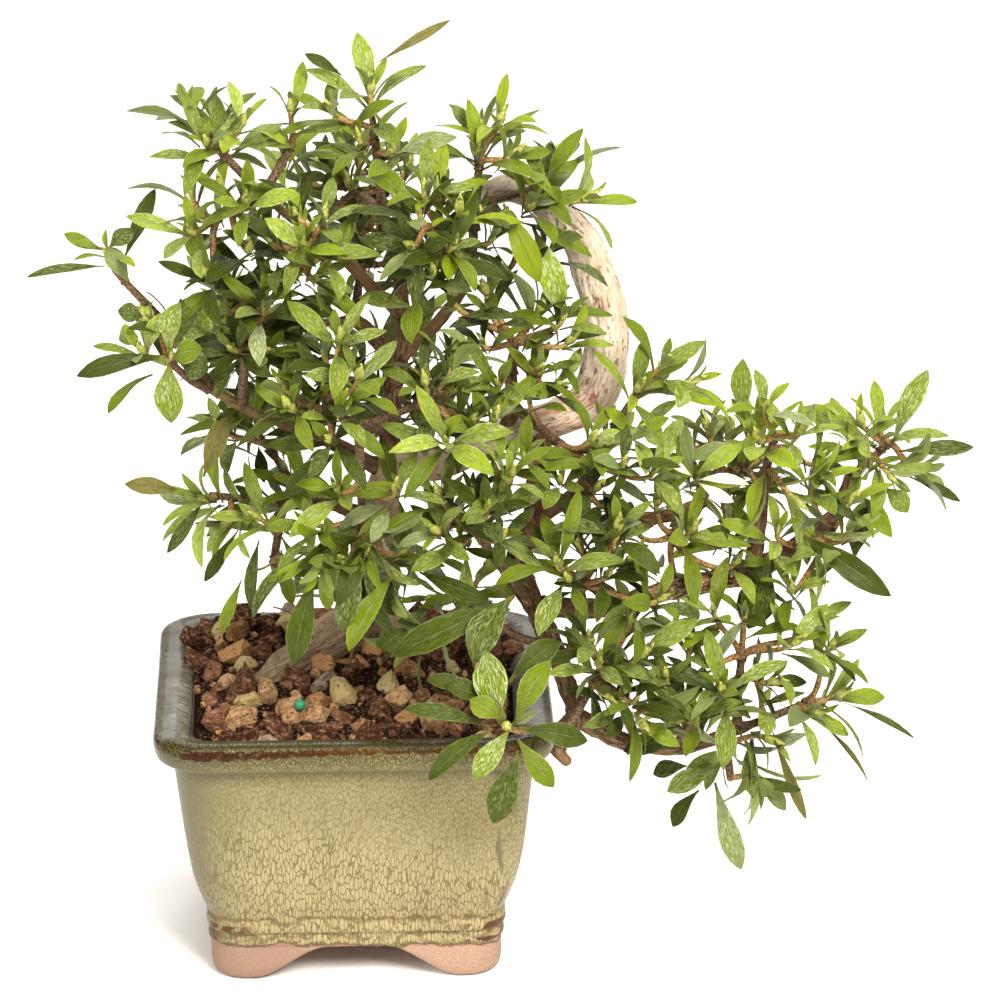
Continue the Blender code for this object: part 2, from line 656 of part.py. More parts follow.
def make_mass(name, limbs, heading, obstacles):
    carrier, share, middle, reach, count = MASSES[name]
    centre = Vector(middle)
    stem = mass_stem(limbs[carrier].at(share), heading, centre)
    shapes = [tube_mesh(with_radius(stem, STEM_RADIUS, SHOOT_RADIUS), 3)]
    others = [tree for owner, tree in obstacles.items() if owner != carrier]
    every = list(obstacles.values())
    shoots = []
    for i, line in enumerate(mass_shoots(name, stem, centre, reach, count)):
        shape = tube_mesh(with_radius(line, SHOOT_RADIUS, SHOOT_RADIUS), 3)
        tree = tree_of(*shape)
        if not any(other.overlap(tree) for other in others):
            shapes.append(shape)
            shoots.append((i, line, tree))
    own = [tree for _, _, tree in shoots]
    for i, line, _ in shoots:
        heading_out, leaves = shoot_leaves(name, i, line, LEAVES_PER_SHOOT)
        for leaf in leaves:
            fitted = fit_leaf(leaf, heading_out, centre, reach, every, own)
            if fitted:
                shapes.append(leaf_mesh(*fitted))
    for solver in ("EXACT", "MANIFOLD"):
        piece, closed = fuse(name, shapes, limbs.values(), solver)
        if closed:
            break
        if solver == "EXACT":
            remove_object(piece)
    return piece


def make_masses(limbs, pot, soil):
    obstacles = {name: limb.tree for name, limb in limbs.items()}
    obstacles["pot"] = tree_of_object(pot)
    obstacles["soil"] = tree_of_object(soil)
    tips = {}
    for name, (carrier, share, middle, _, _) in MASSES.items():
        tips.setdefault((carrier, share), []).append(name)
    headings = {}
    for (carrier, share), names in tips.items():
        limb = limbs[carrier]
        start = limb.at(share)
        wanted = [Vector(MASSES[name][2]) - start for name in names]
        headings.update(zip(names, spread_stems(wanted, -limb.heading(share))))
    pieces = []
    for name in MASSES:
        piece = make_mass(name, limbs, headings[name], obstacles)
        obstacles[name] = tree_of_object(piece)
        pieces.append(piece)
    return pieces


# ---- finishes ----------------------------------------------------------------------------------
def finish(piece, name, colour, roughness):
    material = bpy.data.materials.get(name) or bpy.data.materials.new(name)
    material.use_nodes = True
    shader = material.node_tree.nodes["Principled BSDF"]
    shader.inputs["Base Color"].default_value = (*colour, 1.0)
    shader.inputs["Roughness"].default_value = roughness
    shader.inputs["Metallic"].default_value = 0.0
    piece.data.materials.clear()
    piece.data.materials.append(material)


def build():
    for old in list(bpy.data.objects):
        bpy.data.objects.remove(old, do_unlink=True)
    pot = make_pot()
    soil = make_soil()
    limbs = make_trunk()
    make_boughs(limbs)
    masses = make_masses(limbs, pot, soil)
    finish(pot, "glazed_pot", (0.56, 0.50, 0.24), 0.25)
    finish(soil, "bark_and_pumice", (0.12, 0.06, 0.04), 0.95)
    for name, limb in limbs.items():
        if name in TRUNK_SECTIONS:
            finish(limb.piece, "pale_bark", (0.55, 0.42, 0.30), 0.8)
        else:
            finish(limb.piece, "dark_bark", (0.18, 0.11, 0.07), 0.85)
    for piece in masses:
        finish(piece, "leaf_green", (0.10, 0.22, 0.05), 0.45)
    stand = bpy.data.objects.new("stand_point", None)
    bpy.context.scene.collection.objects.link(stand)
    stand.location = [-c * MM for c in MODEL_ORIGIN]
    for piece in [pot, soil] + [limb.piece for limb in limbs.values()] + masses:
        piece.parent = stand


build()
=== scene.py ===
"""Looks of a satsuki azalea grown as a bonsai in its square glazed pot.

Sizes are in millimetres, counted from the middle of the pot's rim in plan and from just above the
undersides of its feet, and are turned into the frame's metres as each mesh is made.
"""
import math
import random

import bmesh
import bpy
import numpy as np
from mathutils import Matrix, Vector, noise


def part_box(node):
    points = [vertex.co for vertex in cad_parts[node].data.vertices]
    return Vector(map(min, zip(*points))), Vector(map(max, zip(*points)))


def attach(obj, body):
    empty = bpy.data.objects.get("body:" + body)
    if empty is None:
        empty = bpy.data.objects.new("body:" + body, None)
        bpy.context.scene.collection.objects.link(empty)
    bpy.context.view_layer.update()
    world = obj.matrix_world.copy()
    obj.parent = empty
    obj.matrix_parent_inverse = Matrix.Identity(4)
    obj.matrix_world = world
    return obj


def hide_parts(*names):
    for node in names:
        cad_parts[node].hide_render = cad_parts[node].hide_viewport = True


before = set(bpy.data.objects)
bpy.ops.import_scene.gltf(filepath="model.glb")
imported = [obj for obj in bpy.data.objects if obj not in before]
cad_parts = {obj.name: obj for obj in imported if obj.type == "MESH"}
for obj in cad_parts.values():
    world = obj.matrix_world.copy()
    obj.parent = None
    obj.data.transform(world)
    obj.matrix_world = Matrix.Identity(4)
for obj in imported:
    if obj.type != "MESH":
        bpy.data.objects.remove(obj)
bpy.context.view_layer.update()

# ---- Stage -----------------------------------------------------------------------------------
# A pale table and four soft studio lights: a strong one from the front, weaker ones from the left,
# from above and from behind, and a white room all round.  The camera stands two metres off.
MM = 0.001
FOOT_BOTTOM = -2.5
pot_low, pot_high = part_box("pot")
POT_MIDDLE = Vector(((pot_low.x + pot_high.x) / 2, (pot_low.y + pot_high.y) / 2, -FOOT_BOTTOM * MM))
CAMERA_TARGET = Vector((56.8, 0.0, 173.3))
CAMERA_DISTANCE = 1912.0
CAMERA_TURN = math.radians(-2)
CAMERA_RISE = math.radians(20)
CAMERA_LENS = 180.0
LIGHTS_AIM = (30, 0, 150)
SOFT_LIGHTS = {
    # place in metres, width, power, colour
    "key_light": ((0.50, -1.28, 1.30), 0.75, 52.5, (1.0, 0.965, 0.89)),
    "fill_light": ((-1.35, -0.80, 0.95), 0.8, 20.0, (1.0, 0.97, 0.92)),
    "top_light": ((0.05, 0.1, 1.6), 1.0, 21.0, (1.0, 0.98, 0.94)),
    "back_light": ((0.1, 1.5, 1.3), 1.2, 11.0, (1.0, 0.99, 0.97))}
ROOM_COLOUR = (1.0, 0.96, 0.88)
ROOM_STRENGTH = 0.40
TABLE_REACH = 4000.0
TABLE_DROP = 0.05               # the table lies this far under the pot's feet


def in_frame(point):
    """A point in millimetres from the pot's middle, in the frame's metres."""
    return Vector(point) * MM + POT_MIDDLE


def new_object(name, data):
    made = bpy.data.objects.new(name, data)
    bpy.context.scene.collection.objects.link(made)
    return made


def aim(obj, place, target):
    obj.location = place
    obj.rotation_euler = (target - place).to_track_quat("-Z", "Y").to_euler()


camera = new_object("camera", bpy.data.cameras.new("camera"))
camera.data.lens = CAMERA_LENS
camera.data.sensor_width = 36.0
camera_back = Vector((math.sin(CAMERA_TURN) * math.cos(CAMERA_RISE),
                      -math.cos(CAMERA_TURN) * math.cos(CAMERA_RISE), math.sin(CAMERA_RISE)))
aim(camera, in_frame(CAMERA_TARGET + camera_back * CAMERA_DISTANCE), in_frame(CAMERA_TARGET))
bpy.context.scene.camera = camera

for name, (place, size, power, colour) in SOFT_LIGHTS.items():
    light = new_object(name, bpy.data.lights.new(name, "AREA"))
    light.data.shape = "DISK"
    light.data.size = size
    light.data.energy = power
    light.data.color = colour
    aim(light, Vector(place), in_frame(LIGHTS_AIM))

room = bpy.data.worlds.new("white_room")
room.use_nodes = True
room.node_tree.nodes["Background"].inputs["Color"].default_value = (*ROOM_COLOUR, 1.0)
room.node_tree.nodes["Background"].inputs["Strength"].default_value = ROOM_STRENGTH
bpy.context.scene.world = room
bpy.context.scene.view_settings.view_transform = "Standard"


def plain_material(name, colour, roughness):
    material = bpy.data.materials.new(name)
    material.use_nodes = True
    shader = material.node_tree.nodes["Principled BSDF"]
    shader.inputs["Base Color"].default_value = (*colour, 1.0)
    shader.inputs["Roughness"].default_value = roughness
    return material


def link_mesh(name, points, faces, material):
    """An object from points in millimetres, shaded smooth, with its place in its mesh."""
    mesh = bpy.data.meshes.new(name)
    mesh.from_pydata([in_frame(p) for p in points], [], faces)
    mesh.shade_smooth()
    mesh.materials.append(material)
    return new_object(name, mesh)


table_corners = [(x * TABLE_REACH, y * TABLE_REACH, FOOT_BOTTOM - TABLE_DROP)
                 for x, y in ((-1, -1), (1, -1), (1, 1), (-1, 1))]
table = link_mesh("table", table_corners, [(0, 1, 2, 3)],
                  plain_material("pale_table", (0.93, 0.93, 0.93), 0.6))

# ---- Pot ---------------------------------------------------------------------------------------
# A square stoneware pot, thrown in one piece with rounded corners, a rolled rim, two ridges low on
# its wall and four corner feet.  A khaki glaze has crawled into small cells all over the wall, pools
# blue grey on the rim and breaks to red brown along its edge; the feet are bare pinkish clay.
POT_DEPTH_RATIO = 0.955
POT_CORNER_STEPS = 12
POT_SIDE_STEPS = 44
POT_ROW_STEPS = 4
POT_UNEVEN = 0.35
ARCH_LEVEL = 11.6
ARCH_HALF_BOTTOM = 40.0
ARCH_HALF_TOP = 9.5
RIM_LEVEL = 101.5
POT_OUTSIDE = [
    (FOOT_BOTTOM, 51.6, 11.4), (FOOT_BOTTOM + 0.3, 53.3, 12.4), (FOOT_BOTTOM + 1.2, 54.8, 12.9),
    (1.6, 55.6, 13.0), (5.0, 55.8, 13.0), (8.5, 55.8, 13.0), (ARCH_LEVEL, 55.9, 13.0),
    (13.0, 56.7, 13.0), (14.8, 56.8, 13.0), (16.0, 56.1, 13.0), (17.0, 55.8, 13.0), (18.2, 57.2, 13.0),
    (20.6, 57.5, 13.0), (22.4, 57.1, 13.0), (23.4, 56.7, 13.0), (27.0, 58.0, 13.5),
    (31.0, 59.5, 14.0), (40.0, 62.2, 15.0), (55.0, 64.7, 16.0),
    (73.0, 66.7, 17.0), (86.0, 68.2, 18.0), (89.6, 68.9, 18.0), (90.6, 71.0, 19.0),
    (91.8, 74.3, 20.5), (95.0, 75.6, 21.5), (98.6, 75.9, 22.0), (100.6, 74.9, 21.0),
    (RIM_LEVEL, 72.4, 19.0)]
POT_INSIDE = [
    (RIM_LEVEL + 0.1, 69.0, 16.0), (RIM_LEVEL - 0.3, 65.6, 13.5), (100.0, 63.0, 11.5),
    (97.5, 61.6, 10.5), (94.0, 60.9, 10.0), (36.0, 54.5, 9.0), (24.5, 49.0, 9.0), (23.0, 46.0, 9.0)]
UNDERSIDE_RINGS = 14


class Value:
    """A value in a node tree, which can be added, multiplied, compared and mapped."""

    def __init__(self, shader, socket):
        self.shader = shader
        self.socket = socket

    def __add__(self, other):
        return self.shader.math("ADD", self, other)

    def __sub__(self, other):
        return self.shader.math("SUBTRACT", self, other)

    def __rsub__(self, other):
        return self.shader.math("SUBTRACT", other, self)

    def __mul__(self, other):
        return self.shader.math("MULTIPLY", self, other)

    def __truediv__(self, other):
        return self.shader.math("DIVIDE", self, other)

    def __gt__(self, other):
        return self.shader.math("GREATER_THAN", self, other)

    def __lt__(self, other):
        return self.shader.math("LESS_THAN", self, other)

    def __abs__(self):
        return self.shader.math("ABSOLUTE", self)

    def ramp(self, low, high, to_low=0.0, to_high=1.0):
        """The value mapped smoothly from between low and high to between two others."""
        return self.shader.out("ShaderNodeMapRange", {
            "Value": self, "From Min": low, "From Max": high, "To Min": to_low, "To Max": to_high},
            interpolation_type="SMOOTHSTEP")

    def band(self, low, high, soft=0.8):
        """One where the value lies between two others."""
        return (self.ramp(low - soft / 2, low + soft / 2)
                * self.ramp(high - soft / 2, high + soft / 2, 1.0, 0.0))


class Shader:
    """A material's or a group's node tree, with short calls that return values."""

    def __init__(self, tree):
        self.tree = tree

    def node(self, kind, inputs=None, **settings):
        made = self.tree.nodes.new(kind)
        for key, value in settings.items():
            setattr(made, key, value)
        for key, value in (inputs or {}).items():
            self.put(made.inputs[key], value)
        return made

    def out(self, kind, inputs=None, output=0, **settings):
        return Value(self, self.node(kind, inputs, **settings).outputs[output])

    def put(self, socket, value):
        if isinstance(value, Value):
            self.tree.links.new(value.socket, socket)
        elif isinstance(value, tuple) and len(value) == 3 and socket.type == "RGBA":
            socket.default_value = (*value, 1.0)
        else:
            socket.default_value = value

    def math(self, operation, a, b=0.0, clamp=False):
        return self.out("ShaderNodeMath", {0: a, 1: b}, operation=operation, use_clamp=clamp)

    def either(self, a, b):
        return self.math("MAXIMUM", a, b)

    def vectors(self, operation, a, b=None, output=0):
        second = {} if b is None else {"Scale" if operation == "SCALE" else 1: b}
        return self.out("ShaderNodeVectorMath", {0: a, **second}, output, operation=operation)

    def axes(self, vector):
        return [Value(self, axis) for axis in self.node("ShaderNodeSeparateXYZ", {0: vector}).outputs]

    def vector(self, x, y, z):
        return self.out("ShaderNodeCombineXYZ", {0: x, 1: y, 2: z})

    def stretched(self, vector, scale):
        return self.out("ShaderNodeMapping", {"Vector": vector, "Scale": scale})

    def number(self, share, a, b):
        """A number between two others."""
        return self.out("ShaderNodeMix", {"Factor": share, "A": a, "B": b})

    def mix(self, share, a, b):
        """A colour between two others."""
        return self.out("ShaderNodeMix", {"Factor": share, 6: a, 7: b}, 2, data_type="RGBA")

    def coats(self, colour, *layers):
        """A colour under layers of share and colour, laid on one after the other."""
        for share, over in layers:
            colour = self.mix(share, colour, over)
        return colour

    def noise(self, vector, scale, detail=3.0, rough=0.5, output="Fac"):
        return self.out("ShaderNodeTexNoise", {
            "Vector": vector, "Scale": scale, "Detail": detail, "Roughness": rough}, output)

    def cell_edges(self, vector, scale):
        return self.out("ShaderNodeTexVoronoi", {"Vector": vector, "Scale": scale}, "Distance",
                        feature="DISTANCE_TO_EDGE")

    def attribute(self, name, output="Fac"):
        return self.out("ShaderNodeAttribute", None, output, attribute_name=name)


def smoothstep(low, high, value):
    t = min(max((value - low) / (high - low), 0.0), 1.0)
    return t * t * (3 - 2 * t)


def smooth_line(points, steps):
    """Catmull-Rom line through rows of numbers."""
    padded = [points[0]] + list(points) + [points[-1]]
    line = []
    for p0, p1, p2, p3 in zip(padded, padded[1:], padded[2:], padded[3:]):
        for s in range(steps):
            t = s / steps
            line.append(tuple(
                0.5 * (2 * b + (c - a) * t + (2 * a - 5 * b + 4 * c - d) * t * t
                       + (3 * b - a - 3 * c + d) * t ** 3)
                for a, b, c, d in zip(p0, p1, p2, p3)))
    line.append(tuple(float(c) for c in points[-1]))
    return line


def square_ring(half, corner):
    """A square with rounded corners, as pairs of x and y."""
    straight = half - corner
    angles = [k * math.pi / 2 / POT_CORNER_STEPS for k in range(POT_CORNER_STEPS + 1)]
    points = [(straight + corner * math.cos(a), straight + corner * math.sin(a)) for a in angles]
    points += [(straight - 2 * straight * k / POT_SIDE_STEPS, half) for k in range(1, POT_SIDE_STEPS)]
    ring = []
    for turn in (quarter * math.pi / 2 for quarter in range(4)):
        ring += [(x * math.cos(turn) - y * math.sin(turn),
                  (x * math.sin(turn) + y * math.cos(turn)) * POT_DEPTH_RATIO) for x, y in points]
    return ring


def arch_share(across):
    return smoothstep(ARCH_HALF_BOTTOM, ARCH_HALF_TOP, abs(across))


def underside_level(x, y):
    """Height of the pot's underside: the table at the corner feet, and arches between them."""
    return FOOT_BOTTOM + (ARCH_LEVEL - FOOT_BOTTOM) * max(arch_share(x), arch_share(y / POT_DEPTH_RATIO))


def pot_ring(level, half, corner):
    ring = []
    for x, y in square_ring(half, corner):
        z = level
        if level < ARCH_LEVEL:
            low = underside_level(x, y)
            z = low + (ARCH_LEVEL - low) * (level - FOOT_BOTTOM) / (ARCH_LEVEL - FOOT_BOTTOM)
        sway = POT_UNEVEN * smoothstep(20, 60, level) * noise.noise(Vector((x * 0.02, y * 0.02, z * 0.03)))
        ring.append((x * (1 + sway / half), y * (1 + sway / half), z))
    return ring


def stack(rings, bottom_centre, top_centre):
    """Points and faces of a closed body from rings, bottom first, with a middle point at each end."""
    count = len(rings[0])
    points = [p for ring in rings for p in ring] + [bottom_centre, top_centre]
    faces = []
    for j in range(len(rings) - 1):
        for k in range(count):
            a = j * count + k
            b = j * count + (k + 1) % count
            faces.append((a, b, b + count, a + count))
    last = (len(rings) - 1) * count
    for k in range(count):
        faces.append(((k + 1) % count, k, len(points) - 2))
        faces.append((last + k, last + (k + 1) % count, len(points) - 1))
    return points, faces


def pot_rings():
    _, foot_half, foot_corner = POT_OUTSIDE[0]
    rings = []
    for j in range(1, UNDERSIDE_RINGS + 1):
        share = j / (UNDERSIDE_RINGS + 1)
        rings.append([(x, y, underside_level(x, y))
                      for x, y in square_ring(foot_half * share, foot_corner * share)])
    rings += [pot_ring(*row) for row in smooth_line(POT_OUTSIDE, POT_ROW_STEPS)]
    rings += [pot_ring(*row) for row in smooth_line(POT_INSIDE, POT_ROW_STEPS)]
    return rings


def store(mesh, name, kind, values):
    """Keep a value on each of a mesh's points."""
    data = mesh.attributes.new(name, kind, "POINT").data
    data.foreach_set("vector" if kind == "FLOAT_VECTOR" else "value", values)


def millimetres(shader):
    """Object coordinates in millimetres from the pot's middle."""
    return shader.out("ShaderNodeMapping", {
        "Vector": shader.out("ShaderNodeTexCoord", output="Object"), "Scale": (1 / MM,) * 3,
        "Location": tuple(-POT_MIDDLE / MM)})


def new_shader(name):
    material = bpy.data.materials.new(name)
    material.use_nodes = True
    return material, Shader(material.node_tree)


def set_surface(shader, colour, roughness, height=None, bump_depth=0.2, **constants):
    """Feed the Principled shader; height is in millimetres of relief times bump_depth."""
    surface = shader.tree.nodes["Principled BSDF"]
    shader.put(surface.inputs["Base Color"], colour)
    shader.put(surface.inputs["Roughness"], roughness)
    for key, value in constants.items():
        surface.inputs[key.replace("_", " ")].default_value = value
    if height is not None:
        shader.put(surface.inputs["Normal"], shader.out("ShaderNodeBump", {
            "Height": height, "Distance": bump_depth * MM}))


def glaze_material():
    material, s = new_shader("crawled_khaki_glaze")
    place = millimetres(s)
    x, y, level = s.axes(place)
    deep_y = abs(y) * (1 / POT_DEPTH_RATIO)
    wander = s.noise(place, 0.05, 2.0)
    slow = s.noise(place, 0.11)
    ripple = s.noise(place, 0.35)
    grain = s.noise(place, 1.2, 4.0)

    # crazing in cells that are drawn out down the wall, finer towards the rim
    wobble = s.vectors("SCALE", s.noise(place, 0.8, 2.0, output="Color"), 0.45)
    on_side = abs(x) > deep_y
    into_wall = s.vector(on_side.ramp(0.0, 1.0, 1.0, 0.1), on_side.ramp(0.0, 1.0, 0.1, 1.0), 1.0)
    moved = s.vectors("MULTIPLY", s.vectors("ADD", place, wobble), into_wall)
    coarse = s.cell_edges(s.stretched(moved, (1.0, 1.0, 0.27)), 0.80)
    fine = s.cell_edges(s.stretched(moved, (1.0, 1.0, 0.40)), 1.02)
    crack_level = level + x * 0.25 + wander.ramp(0.3, 0.7, -9.0, 9.0)
    crack = s.number(crack_level.ramp(50.0, 82.0), coarse.ramp(0.02, 0.11, 1.0, 0.0),
                     fine.ramp(0.03, 0.17, 0.85, 0.0))

    cream = s.mix(wander.ramp(0.35, 0.65), (0.300, 0.249, 0.127), (0.338, 0.283, 0.148))
    wave = level + slow.ramp(0.3, 0.7, -1.6, 1.6)
    lines = s.either(wave.band(15.6, 16.9, 1.2), wave.band(22.3, 24.1, 1.6))
    corner = abs(x).ramp(36.0, 46.0) * abs(y).ramp(34.0, 44.0)
    ridges = s.either(level.band(12.6, 14.8), level.band(18.0, 21.0))
    drips = s.noise(s.stretched(place, (1.0, 1.0, 0.035)), 0.22)
    edge_level = level + ripple.ramp(0.3, 0.7, -0.5, 0.5)
    speckle = (edge_level.ramp(91.5, 98.2, 0.22, 1.0) * level.ramp(90.0, 91.4)
               * grain.ramp(0.36, 0.56, 0.15, 1.0))
    wall = s.coats(
        cream,
        (level.ramp(36.0, 84.0, 0.0, 0.72), (0.205, 0.177, 0.088)),
        (crack * 0.85, (0.105, 0.082, 0.026)),
        (level.ramp(80.0, 97.0) * grain.ramp(0.36, 0.62, 0.25, 1.0) * 0.8, (0.110, 0.095, 0.032)),
        # a darker band where the wall turns out under the rim: painted shade
        (level.band(89.0, 91.0, 1.4) * 0.8, (0.080, 0.072, 0.048)),
        # the wall darker towards its left end: painted shade
        (x.ramp(-68.0, -34.0, 0.95, 0.0), (0.117, 0.103, 0.056)),
        (lines * ripple.ramp(0.3, 0.55, 0.25, 0.75), (0.105, 0.070, 0.028)),
        (corner * ridges * s.noise(place, 0.17, 1.0).ramp(0.47, 0.53), (0.085, 0.034, 0.014)),
        (x.ramp(47.0, 52.0) * drips.ramp(0.54, 0.62) * 0.75, (0.110, 0.075, 0.050)),
        (speckle * 0.78, (0.036, 0.030, 0.009)))

    # the rim: slate blue on top, olive in front, red brown along its worn edge
    outward = s.either(abs(x), deep_y)
    in_front = y.ramp(-63.5, -57.0, 1.0, 0.0)
    brim = s.either(outward.ramp(66.6, 68.2, 1.0, 0.0), outward.ramp(71.4, 73.0))
    slate = s.coats(
        s.mix(s.noise(place, 0.09, 2.0).ramp(0.35, 0.65), (0.128, 0.122, 0.108), (0.190, 0.180, 0.158)),
        (grain.ramp(0.62, 0.72, 0.0, 0.5), (0.090, 0.084, 0.060)),
        (brim * ripple.ramp(0.35, 0.6, 0.2, 0.8), (0.075, 0.062, 0.036)))
    olive = s.mix(grain.ramp(0.36, 0.62), (0.012, 0.010, 0.002), (0.062, 0.050, 0.011))
    rim = s.mix(in_front * slow.ramp(0.34, 0.48, 0.88, 1.0), slate, olive)
    red = ((edge_level - x.ramp(-58.0, 5.0, 97.2, 99.1)).ramp(-0.3, 0.4)
           * edge_level.ramp(100.4, 100.9, 1.0, 0.0) * outward.ramp(72.4, 73.6))
    red_edge = s.mix(x.ramp(-50.0, 10.0), (0.028, 0.008, 0.0015), (0.055, 0.019, 0.003))
    wall = s.coats(
        wall,
        (edge_level.ramp(93.0, 98.0) * (0.75 - in_front * 0.75), slate),
        (level.ramp(96.5, 98.5) * outward.ramp(72.6, 74.2, 1.0, 0.0), rim),
        (red * ripple.ramp(0.30, 0.46, 0.45, 1.0), red_edge),
        (s.attribute("inside") * level.ramp(98.0, 95.0), (0.070, 0.050, 0.030)))

    glaze_end = level + x * 0.03 + slow.ramp(0.3, 0.7, -1.4, 1.4)
    glazed = glaze_end.ramp(11.9, 12.5)
    clay = s.coats(
        s.mix(grain.ramp(0.35, 0.7), (0.325, 0.204, 0.143), (0.400, 0.270, 0.195)),
        # the bare clay darker towards the left: painted shade
        (x.ramp(-60.0, 40.0, 0.75, 0.0), (0.225, 0.138, 0.097)),
        (s.noise(place, 2.6, 2.0).ramp(0.66, 0.72, 0.0, 0.6), (0.560, 0.430, 0.330)))
    colour = s.coats(clay, (glazed, wall), (glaze_end.band(11.6, 13.0) * 0.75, (0.105, 0.060, 0.030)))
    rough = s.number(glazed, 0.85, s.number(level.ramp(90.0, 99.0), 0.32, 0.12))
    relief = (crack * -0.6 + ripple * 0.5) * (glazed + 0.15)
    set_surface(s, colour, rough, relief, 0.16, Specular_IOR_Level=0.13)
    return material


rings = pot_rings()
floor_level = POT_INSIDE[-1][0]
pot = link_mesh("pot_body", *stack(rings, (0, 0, ARCH_LEVEL), (0, 0, floor_level)), glaze_material())
wall_rings = UNDERSIDE_RINGS + (len(POT_OUTSIDE) - 1) * POT_ROW_STEPS + 1
inner = [float(j > wall_rings + POT_ROW_STEPS) for j, ring in enumerate(rings) for _ in ring]
store(pot.data, "inside", "FLOAT", inner + [0.0, 1.0])
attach(pot, "root")
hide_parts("pot")

# ---- Trunk -------------------------------------------------------------------------------------
# One old stem that leaves the chips upright, turns right, doubles back in a high arch and ends in the
# crown, with two surface roots.  Its bark is thin and pale, cream on the arch, with long brown flecks
# and sore red patches at the tightest bend.  The bark's relief is in the mesh.
TRUNK_LINE = [
    (8, 38, 103, 11.6), (9, 38, 112, 10.2), (10, 37, 122, 7.9), (11, 33, 146, 6.9), (13, 26, 170, 6.6),
    (21, 19, 185, 6.4), (33, 14, 183, 5.8), (47, 10, 190, 5.4), (63, 9, 199, 5.8), (80, 11, 203, 7.2),
    (93, 15, 210, 8.3), (98, 19, 228, 8.8), (96, 23, 248, 8.4), (88, 26, 269, 7.1), (75, 26, 284, 6.2),
    (61, 22, 291, 5.4), (49, 16, 288, 4.4)]
ROOTS = [
    [(8, 38, 109, 11.5), (-6, 25, 107.5, 10.5), (-19, 11, 105, 8.6), (-36, -12, 103, 5.0)],
    [(9, 38, 108, 9.5), (20, 27, 106.0, 7.0), (29, 15, 103.5, 4.4)]]
TRUNK_BEND = (86, 6, 203)
TRUNK_SCAR = (94, 12, 246)
TRUNK_TOP = (57, 20, 292)
LIMB_STEP = 1.0                 # from one ring of a limb to the next, before it is remeshed
END_LENGTH = 0.8                # of a limb's rounded end, in radii
TRUNK_SIDES = 28
TRUNK_VOXEL = 0.75
FORK_ROUNDS = 8                 # of easing the skin where limbs join
LIMB_SHIFT = 97.0               # along the grain, from one limb's bark to the next's
POINTS_AT_ONCE = 4000           # of the skin, looked up against the limbs inside it


def line_by_length(points, step):
    """A smooth line through points of x, y, z and radius, with a row about every step."""
    rows = []
    for a, b, piece in zip(points, points[1:], range(len(points))):
        count = max(2, round((Vector(b[:3]) - Vector(a[:3])).length / step))
        start = max(piece - 1, 0)
        around = points[start:piece + 3]
        span = smooth_line(around, count)
        first = (piece - start) * count
        rows += span[first:first + count]
    return rows + [tuple(float(c) for c in points[-1])]


class Limb:
    """A tapering round limb along a smooth line, with a frame of its own at each row."""

    def __init__(self, points):
        rows = np.array(line_by_length(points, LIMB_STEP))
        self.middles = rows[:, :3]
        self.radii = rows[:, 3]
        ahead = np.gradient(self.middles, axis=0)
        self.ahead = ahead / np.linalg.norm(ahead, axis=1)[:, None]
        self.along = np.concatenate([[0], np.cumsum(np.linalg.norm(np.diff(self.middles, axis=0), axis=1))])
        side = np.array(Vector(self.ahead[0]).orthogonal().normalized())
        sides = []
        for direction in self.ahead:
            side = side - direction * side.dot(direction)
            side /= np.linalg.norm(side)
            sides.append(side)
        self.side = np.array(sides)
        self.across = np.cross(self.ahead, self.side)

    def tube(self, sides):
        """Points and faces of the limb with rounded ends."""
        turns = (np.arange(sides) * math.tau / sides)[None, :, None]
        ring = self.side[:, None] * np.cos(turns) + self.across[:, None] * np.sin(turns)
        shells = self.middles[:, None] + ring * self.radii[:, None, None]

        def past_end(end, share):
            return self.middles[end] + self.ahead[end] * self.radii[end] * share * END_LENGTH

        def cap(end, share):
            return past_end(end, share) + ring[end] * self.radii[end] * math.sqrt(1 - share * share)

        rings = [cap(0, -0.9), cap(0, -0.6), *shells, cap(-1, 0.6), cap(-1, 0.9)]
        return stack([[Vector(p) for p in ring] for ring in rings],
                     Vector(past_end(0, -1)), Vector(past_end(-1, 1)))


def joined(shapes):
    """Points and faces of several shapes in one list."""
    points, faces = [], []
    for shape_points, shape_faces in shapes:
        start = len(points)
        points.extend(shape_points)
        faces.extend(tuple(i + start for i in face) for face in shape_faces)
    return points, faces


